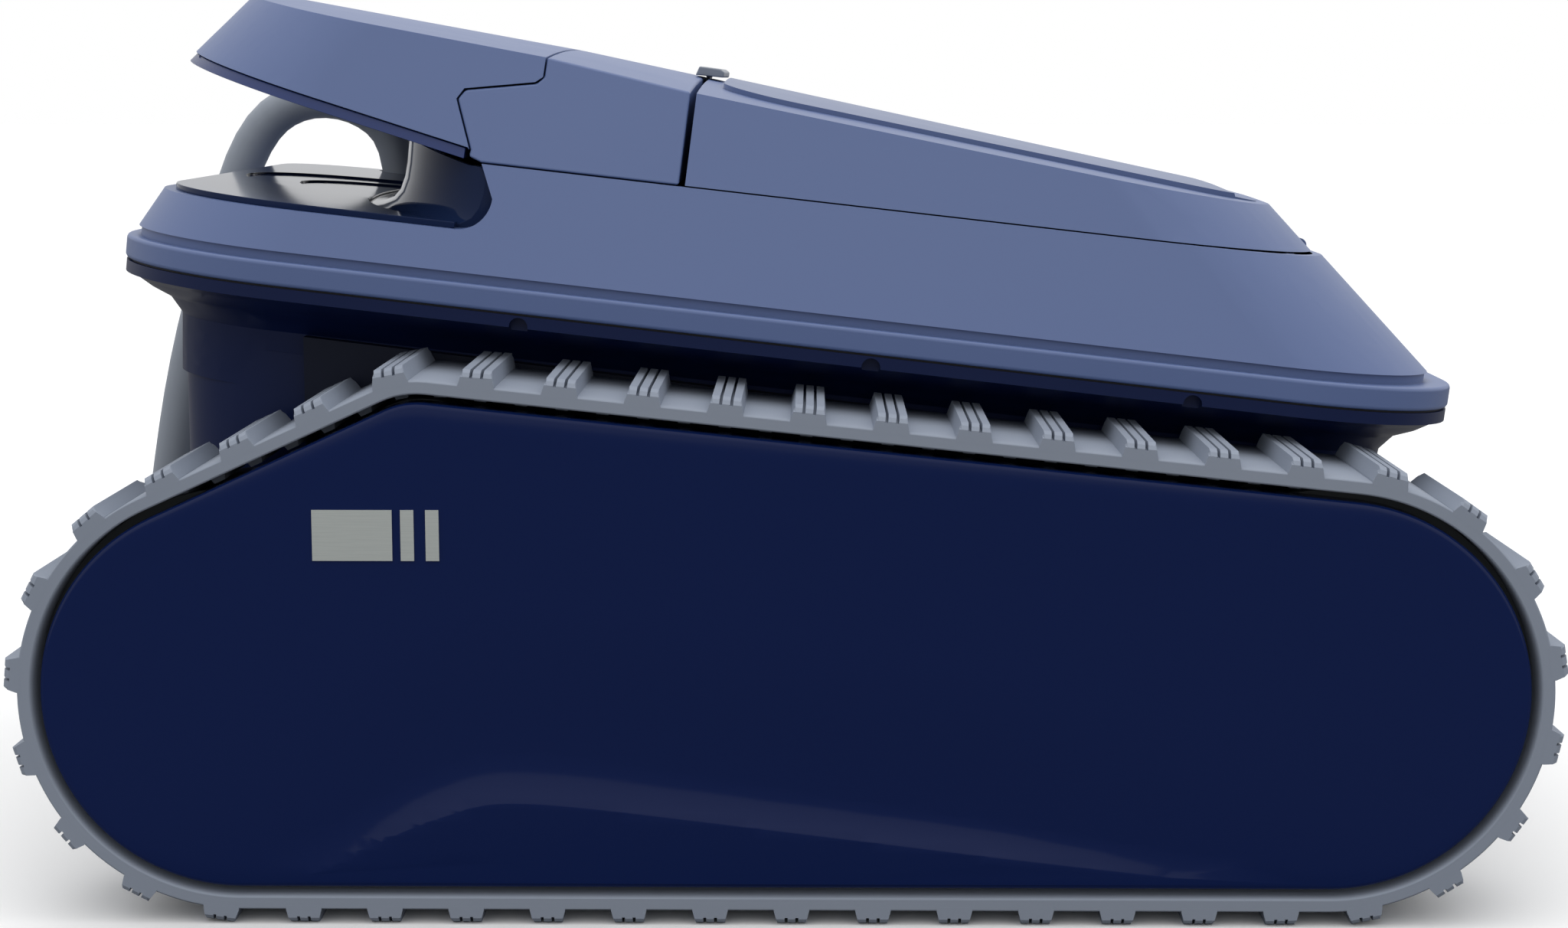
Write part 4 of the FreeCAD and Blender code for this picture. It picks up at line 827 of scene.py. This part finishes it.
@dataclass
class TrackBelt:
    """One rubber belt: a band, outer lugs with two grooves, and inner drive teeth."""

    side: Side
    line: BeltLine
    outer_y: float = 0.185
    width: float = 0.060
    thick: float = 0.0041
    lugs: int = 43
    phase: float = 0.0023
    tooth_half: float = 0.015

    def lug_mesh(self) -> bpy.types.Mesh:
        """One lug, drawn along X and across Y, standing out along -Z from the band's outer face.

        Returns:
            The mesh.
        """
        half, rise, edge, bed = self.width / 2, 0.0046, 0.0030, 0.0022
        cuts = [(-0.0054, 0.0), (-0.0047, 0.0030), (-0.0044, rise), (-0.00207, rise), (-0.00207, bed), (-0.00117, bed),
                (-0.00117, rise)]
        cuts += [(-x, h) for x, h in reversed(cuts)]
        stations = [(-half, 0.0026, 0.0008), (-half + 0.0010, 0.0038, 0.0004), (-half + edge, rise, 0.0),
                    (half - edge, rise, 0.0), (half - 0.0010, 0.0038, 0.0004), (half, 0.0026, 0.0008)]
        work = bmesh.new()
        rings = []
        for y, top, pinch in stations:
            ring = []
            for x, h in cuts:
                height = min(h, top)
                if h > 0.004 and abs(x) > 0.003:
                    x = x - math.copysign(pinch * 0.5, x)
                ring.append(work.verts.new((x, y, -(height + self.thick))))
            rings.append(ring)
        foot = [[work.verts.new((x, y, -(self.thick - 0.0012))) for x in (-0.0054, 0.0054)] for y, _, _ in stations]
        for (a, fa), (b, fb) in zip(zip(rings, foot), list(zip(rings, foot))[1:]):
            for i in range(len(cuts) - 1):
                work.faces.new((a[i], a[i + 1], b[i + 1], b[i]))
            work.faces.new((fa[0], a[0], b[0], fb[0]))
            work.faces.new((a[-1], fa[1], fb[1], b[-1]))
            work.faces.new((fa[1], fa[0], fb[0], fb[1]))
        for ring, f in ((rings[0], foot[0]), (rings[-1], foot[-1])):
            work.faces.new([f[0], *ring, f[1]])
        bmesh.ops.recalc_face_normals(work, faces=work.faces)
        return mesh_from(work, "lug")

    def tooth_mesh(self) -> bpy.types.Mesh:
        """One inner drive tooth, standing along +Z from the band's inner face."""
        y = self.tooth_half
        base, tip, h = 0.0026, 0.0018, 0.0022
        verts = [(x, s * y, z) for s in (-1, 1) for x, z in ((-base, -0.0003), (base, -0.0003), (tip, h), (-tip, h))]
        mesh = bpy.data.meshes.new("drive_tooth")
        faces = [(0, 1, 2, 3), (7, 6, 5, 4), (1, 5, 6, 2), (3, 2, 6, 7), (0, 3, 7, 4), (0, 4, 5, 1)]
        mesh.from_pydata(verts, [], faces)
        return mesh

    def band_mesh(self) -> bpy.types.Mesh:
        """The plain band with softly rounded rims."""
        soft, y = 0.0005, self.width / 2 - 0.00002
        profile = [(0.0, -y + soft), (soft, -y), (self.thick - soft, -y), (self.thick, -y + soft),
                   (self.thick, y - soft), (self.thick - soft, y), (soft, y), (0.0, y - soft)]
        rings = [self.line.outline(off) for off, _ in profile]
        work = bmesh.new()
        grid = [[work.verts.new((p[0], across, p[1])) for p in ring] for ring, (_, across) in zip(rings, profile)]
        n, m = len(profile), len(rings[0])
        for i in range(n):
            for j in range(m):
                here, after = grid[i], grid[(i + 1) % n]
                work.faces.new((here[j], here[(j + 1) % m], after[(j + 1) % m], after[j]))
        bmesh.ops.remove_doubles(work, verts=work.verts, dist=1e-7)
        bmesh.ops.recalc_face_normals(work, faces=work.faces)
        for face in work.faces:
            face.smooth = max(v.co.y for v in face.verts) - min(v.co.y for v in face.verts) > 1e-6
        return mesh_from(work, "band")

    def tree(self, paint: bpy.types.Material) -> bpy.types.NodeTree:
        """Node tree that sets lugs and teeth along the line and joins the band.

        Args:
            paint: The belt's material.

        Returns:
            The tree.
        """
        tree = bpy.data.node_groups.new("belt_builder", "GeometryNodeTree")
        face = tree.interface
        face.new_socket(name="Geometry", in_out="INPUT", socket_type="NodeSocketGeometry")
        for label, kind in (("Lug", "NodeSocketObject"), ("Tooth", "NodeSocketObject"), ("Band", "NodeSocketObject"),
                            ("Lugs", "NodeSocketInt"), ("Teeth", "NodeSocketInt")):
            face.new_socket(name=label, in_out="INPUT", socket_type=kind)
        face.new_socket(name="Geometry", in_out="OUTPUT", socket_type="NodeSocketGeometry")
        add, link = tree.nodes.new, tree.links.new
        gin, gout, join = add("NodeGroupInput"), add("NodeGroupOutput"), add("GeometryNodeJoinGeometry")
        for thing, count in (("Lug", "Lugs"), ("Tooth", "Teeth")):
            spread, along = add("GeometryNodeResampleCurve"), add("GeometryNodeInputTangent")
            first, second = add("FunctionNodeAlignRotationToVector"), add("FunctionNodeAlignRotationToVector")
            place, info = add("GeometryNodeInstanceOnPoints"), add("GeometryNodeObjectInfo")
            spread.mode = "COUNT"
            first.axis, second.axis, second.pivot_axis = "X", "Y", "X"
            second.inputs["Vector"].default_value = (0.0, 1.0, 0.0)
            link(gin.outputs["Geometry"], spread.inputs["Curve"])
            link(gin.outputs[count], spread.inputs["Count"])
            link(along.outputs[0], first.inputs["Vector"])
            link(first.outputs[0], second.inputs["Rotation"])
            link(gin.outputs[thing], info.inputs["Object"])
            link(spread.outputs[0], place.inputs["Points"])
            link(info.outputs["Geometry"], place.inputs["Instance"])
            link(second.outputs[0], place.inputs["Rotation"])
            link(place.outputs[0], join.inputs[0])
        band = add("GeometryNodeObjectInfo")
        link(gin.outputs["Band"], band.inputs["Object"])
        link(band.outputs["Geometry"], join.inputs[0])
        real, coat = add("GeometryNodeRealizeInstances"), add("GeometryNodeSetMaterial")
        coat.inputs["Material"].default_value = paint
        link(join.outputs[0], real.inputs[0])
        link(real.outputs[0], coat.inputs[0])
        link(coat.outputs[0], gout.inputs[0])
        return tree

    def make(self, shop: Workshop) -> None:
        """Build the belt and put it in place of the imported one."""
        ring = self.line.outline(self.line.pitch_off, 0.0008)
        places = [Vector((p[0], p[1])) for p in ring]
        gone, i = self.phase, 0
        while gone > (places[i + 1] - places[i]).length:
            gone -= (places[i + 1] - places[i]).length
            i += 1
        first = places[i].lerp(places[i + 1], gone / (places[i + 1] - places[i]).length)
        order = [first, *places[i + 1:], *places[:i + 1]]
        curve = bpy.data.curves.new("belt_line", "CURVE")
        curve.dimensions = "3D"
        spline = curve.splines.new("POLY")
        spline.points.add(len(order) - 1)
        for knot, p in zip(spline.points, order):
            knot.co = (p.x, 0.0, p.y, 1.0)
        spline.use_cyclic_u = True
        host = add_object("belt_line", curve)
        parts = [add_object(n, m) for n, m in (("lug", self.lug_mesh()), ("tooth", self.tooth_mesh()),
                                               ("band", self.band_mesh()))]
        shift = self.line.pitch_off
        parts[0].data.transform(Matrix.Translation((0, 0, shift)))
        parts[1].data.transform(Matrix.Translation((0, 0, shift)))
        builder = host.modifiers.new("builder", "NODES")
        builder.node_group = self.tree(shop.paint("track_rubber"))
        keys = {s.name: s.identifier for s in builder.node_group.interface.items_tree if s.in_out == "INPUT"}
        for label, value in (("Lug", parts[0]), ("Tooth", parts[1]), ("Band", parts[2]), ("Lugs", self.lugs),
                             ("Teeth", 2 * self.lugs)):
            builder[keys[label]] = value
        mesh = evaluated_mesh(host)
        for thing in (host, *parts):
            bpy.data.objects.remove(thing)
        mesh.transform(Matrix.Translation((0, self.side.value * (self.outer_y - self.width / 2), 0)))
        for vertex in mesh.vertices:
            vertex.co.z = max(vertex.co.z, 0.0)
        node = "track_belt_" + self.side.word
        shop.hand_over(shop.piece("rubber_belt_" + self.side.word, mesh, "track_rubber"), "track_rubber", node)


@dataclass
class SideCover:
    """Glossy cover with a rounded rim and a low soft crease."""

    side: Side
    line: BeltLine
    inset: float = 0.0026
    face_y: float = 0.1845
    back_y: float = 0.1762
    rounding: float = 0.0016
    crease: float = 0.0011
    hollow: float = 0.0013
    hollow_reach: float = 0.045
    crest: Tuple[Flat, ...] = ((-0.156, 0.0119), (-0.1377, 0.0177), (-0.1162, 0.0286), (-0.0949, 0.0364),
                               (-0.0858, 0.0379), (-0.0677, 0.0373), (-0.0255, 0.0326), (0.1414, 0.0122))
    start: Tuple[Flat, ...] = ((-0.172, 0.0254), (-0.146, 0.0275), (-0.123, 0.0395), (-0.1038, 0.0488),
                               (-0.0916, 0.0528), (-0.0675, 0.0526), (-0.022, 0.0455), (0.126, 0.0223))

    def along(self, table: Sequence[Flat], x: float) -> float:
        """Smooth height of a line at x."""
        if x <= table[0][0]:
            return table[0][1]
        if x >= table[-1][0]:
            return table[-1][1]
        for i, ((x0, z0), (x1, z1)) in enumerate(zip(table, table[1:])):
            if x0 <= x <= x1:
                before = table[max(i - 1, 0)]
                after = table[min(i + 2, len(table) - 1)]
                m0 = (z1 - before[1]) / max(x1 - before[0], 1e-9)
                m1 = (after[1] - z0) / max(after[0] - x0, 1e-9)
                t, w = (x - x0) / (x1 - x0), x1 - x0
                return ((2 * t ** 3 - 3 * t * t + 1) * z0 + (t ** 3 - 2 * t * t + t) * w * m0
                        + (3 * t * t - 2 * t ** 3) * z1 + (t ** 3 - t * t) * w * m1)
        return table[-1][1]

    def proud(self, x: float, z: float) -> float:
        """How far the face stands out at a point, highest along the crease."""
        crest, start = self.along(self.crest, x), self.along(self.start, x)
        ends = min(max((x + 0.165) / 0.06, 0.0), 1.0) * min(max((0.150 - x) / 0.09, 0.0), 1.0)
        if ends <= 0:
            return 0.0
        if z >= start:
            t = min(max(1.0 - (z - start) / self.hollow_reach, 0.0), 1.0)
            return -self.hollow * ends * t * t * (3 - 2 * t)
        if z >= crest:
            t = (start - z) / max(start - crest, 1e-6)
            return ends * ((self.crease + self.hollow) * t * t - self.hollow)
        return self.crease * ends * max(0.0, 1.0 - (crest - z) / 0.034)

    def make(self, shop: Workshop) -> None:
        """Build the cover with its wall, posts, and bosses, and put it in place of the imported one."""
        sign = self.side.value
        work = bmesh.new()
        steps = [(0.0, self.back_y), (0.0, self.face_y - self.rounding)]
        for k in range(1, 6):
            a = math.pi / 2 * k / 5
            steps.append((self.rounding * (1 - math.cos(a)), self.face_y - self.rounding * (1 - math.sin(a))))
        rings = []
        for cut, y in [(0.0030, self.back_y), *steps]:
            ring = self.line.outline(-self.inset - cut, 0.003)
            rings.append([work.verts.new((p[0], sign * y, p[1])) for p in ring])
        for a, b in zip(rings, rings[1:]):
            for i in range(len(a)):
                j = (i + 1) % len(a)
                work.faces.new((a[i], a[j], b[j], b[i]))
        edge = [Vector((v.co.x, v.co.z)) for v in rings[-1]]
        points = list(edge)
        rows = 34
        x = -0.222
        while x < 0.222:
            low, high = self.line.span(x, -self.inset - self.rounding)
            crest, start = self.along(self.crest, x), self.along(self.start, x)
            levels = [crest - 0.0003, crest + 0.0003, start]
            levels += [low + (high - low) * (k + 0.5) / rows for k in range(rows)]
            for z in levels:
                if low + 0.0022 < z < high - 0.0022:
                    points.append(Vector((x, z)))
            x += 0.004
        ring_edges = [(i, (i + 1) % len(edge)) for i in range(len(edge))]
        flat, _, faces, _, _, _ = delaunay_2d_cdt(points, ring_edges, [], 1, 1e-7)
        front = [work.verts.new((p.x, sign * (self.face_y + self.proud(p.x, p.y)), p.y)) for p in flat]
        for face in faces:
            work.faces.new([front[i] for i in face])
        inner = work.verts.new((0.0, sign * (self.face_y - 0.0032), self.line.wheel[1]))
        for i in range(len(rings[0])):
            work.faces.new((rings[0][(i + 1) % len(rings[0])], rings[0][i], inner))
        bmesh.ops.remove_doubles(work, verts=work.verts, dist=2e-6)
        bmesh.ops.recalc_face_normals(work, faces=work.faces)
        for face in work.faces:
            face.smooth = True
        self.bosses(work, sign)
        piece = shop.piece("glossy_cover_" + self.side.word, mesh_from(work, "cover"), "navy_cover")
        shop.hand_over(piece, "navy_cover", "side_cover_" + self.side.word)

    def bosses(self, work: bmesh.types.BMesh, sign: int) -> None:
        """Add the posts to the frame and the axle bosses behind the cover."""
        spots = [(-0.072, 0.098, 0.0055, 0.124), (0.006, 0.096, 0.0055, 0.124), (0.082, 0.084, 0.0055, 0.124),
                 (*self.line.wheel, 0.011, 0.177), (-self.line.wheel[0], self.line.wheel[1], 0.011, 0.177),
                 (*self.line.roller, 0.011, 0.177)]
        for x, z, r, y in spots:
            far = self.face_y - 0.0035
            turn = Matrix.Translation((x, sign * (y + far) / 2, z)) @ Matrix.Rotation(math.pi / 2, 4, "X")
            made = bmesh.ops.create_cone(work, cap_ends=True, segments=32, radius1=r, radius2=r, depth=far - y,
                                         matrix=turn)
            for face in {f for v in made["verts"] for f in v.link_faces}:
                face.smooth = False


# ------------------------------------------------------------------ body and underside
@dataclass
class UpperBody:
    """Shell, hood, bridge, hatch, ledge, and neck, with moulded edges."""

    rounded: Tuple[Tuple[str, float], ...] = (
        ("top_shell", 0.0011), ("hood_shell", 0.0011), ("bridge_cover", 0.0008), ("hatch_lid", 0.0008),
        ("hatch_panel", 0.0010), ("hood_lip", 0.0010), ("ledge_panel", 0.0005), ("pocket_liner", 0.0008),
        ("latch_tab", 0.0005), ("lower_tub", 0.0012))

    def make(self, shop: Workshop) -> None:
        """Round the edges of every outer moulding."""
        for node, width in self.rounded:
            shop.eased_copy(node, width)


@dataclass
class BottomScrews:
    """Pan-head screws with a round pit in each head, under the tub."""

    spots_x: Tuple[float, ...] = (-0.058, 0.066)
    spots_y: Tuple[float, ...] = (-0.094, -0.034, 0.034, 0.094)
    height: float = 0.0150

    def screw_mesh(self) -> bpy.types.Mesh:
        """One head, crowned downwards, with a round conical pit in its middle."""
        work = bmesh.new()
        count, rings = 24, []
        for r, z in ((0.0034, 0.0), (0.0034, -0.0009), (0.0029, -0.0016), (0.0019, -0.00195), (0.0011, -0.0020)):
            rings.append(circle(work, r, z, count))
        for a, b in zip(rings, rings[1:]):
            for i in range(count):
                work.faces.new((a[i], a[(i + 1) % count], b[(i + 1) % count], b[i]))
        pit, back = work.verts.new((0, 0, -0.0009)), work.verts.new((0, 0, 0.0))
        for i in range(count):
            j = (i + 1) % count
            work.faces.new((rings[-1][i], rings[-1][j], pit))
            work.faces.new((rings[0][j], rings[0][i], back))
        bmesh.ops.recalc_face_normals(work, faces=work.faces)
        for face in work.faces:
            face.smooth = True
        return mesh_from(work, "screw_head")

    def make(self, shop: Workshop) -> None:
        """Set the screws on a point for each place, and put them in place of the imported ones."""
        spots = bpy.data.meshes.new("screw_spots")
        spots.from_pydata([(x, y, self.height) for x in self.spots_x for y in self.spots_y], [], [])
        host, head = add_object("screw_spots", spots), add_object("screw_head", self.screw_mesh())
        tree = bpy.data.node_groups.new("screw_setter", "GeometryNodeTree")
        tree.interface.new_socket(name="Geometry", in_out="INPUT", socket_type="NodeSocketGeometry")
        tree.interface.new_socket(name="Head", in_out="INPUT", socket_type="NodeSocketObject")
        tree.interface.new_socket(name="Geometry", in_out="OUTPUT", socket_type="NodeSocketGeometry")
        add, link = tree.nodes.new, tree.links.new
        gin, gout, info = add("NodeGroupInput"), add("NodeGroupOutput"), add("GeometryNodeObjectInfo")
        place, real, coat = (add("GeometryNodeInstanceOnPoints"), add("GeometryNodeRealizeInstances"),
                             add("GeometryNodeSetMaterial"))
        coat.inputs["Material"].default_value = shop.paint("screw_steel")
        link(gin.outputs["Head"], info.inputs["Object"])
        link(gin.outputs["Geometry"], place.inputs["Points"])
        link(info.outputs["Geometry"], place.inputs["Instance"])
        link(place.outputs[0], real.inputs[0])
        link(real.outputs[0], coat.inputs[0])
        link(coat.outputs[0], gout.inputs[0])
        setter = host.modifiers.new("setter", "NODES")
        setter.node_group = tree
        keys = {s.name: s.identifier for s in tree.interface.items_tree if s.in_out == "INPUT"}
        setter[keys["Head"]] = head
        mesh = evaluated_mesh(host)
        for thing in (host, head):
            bpy.data.objects.remove(thing)
        shop.hand_over(shop.piece("pan_head_screws", mesh, "screw_steel"), "screw_steel", "bottom_screws")


def main() -> None:
    """Build the studio, the cable, and every sub-assembly in order."""
    logging.basicConfig(level=logging.INFO, format="%(message)s")
    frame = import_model()
    studio = Studio()
    studio.place_camera()
    shop = Workshop(frame)
    shop.dress_nodes()
    PowerCable().make(shop)
    line = BeltLine()
    for side in Side:
        TrackBelt(side, line).make(shop)
        SideCover(side, line).make(shop)
    UpperBody().make(shop)
    BottomScrews().make(shop)
    studio.light()
    studio.lay_floor()


if __name__ == "__main__":
    main()
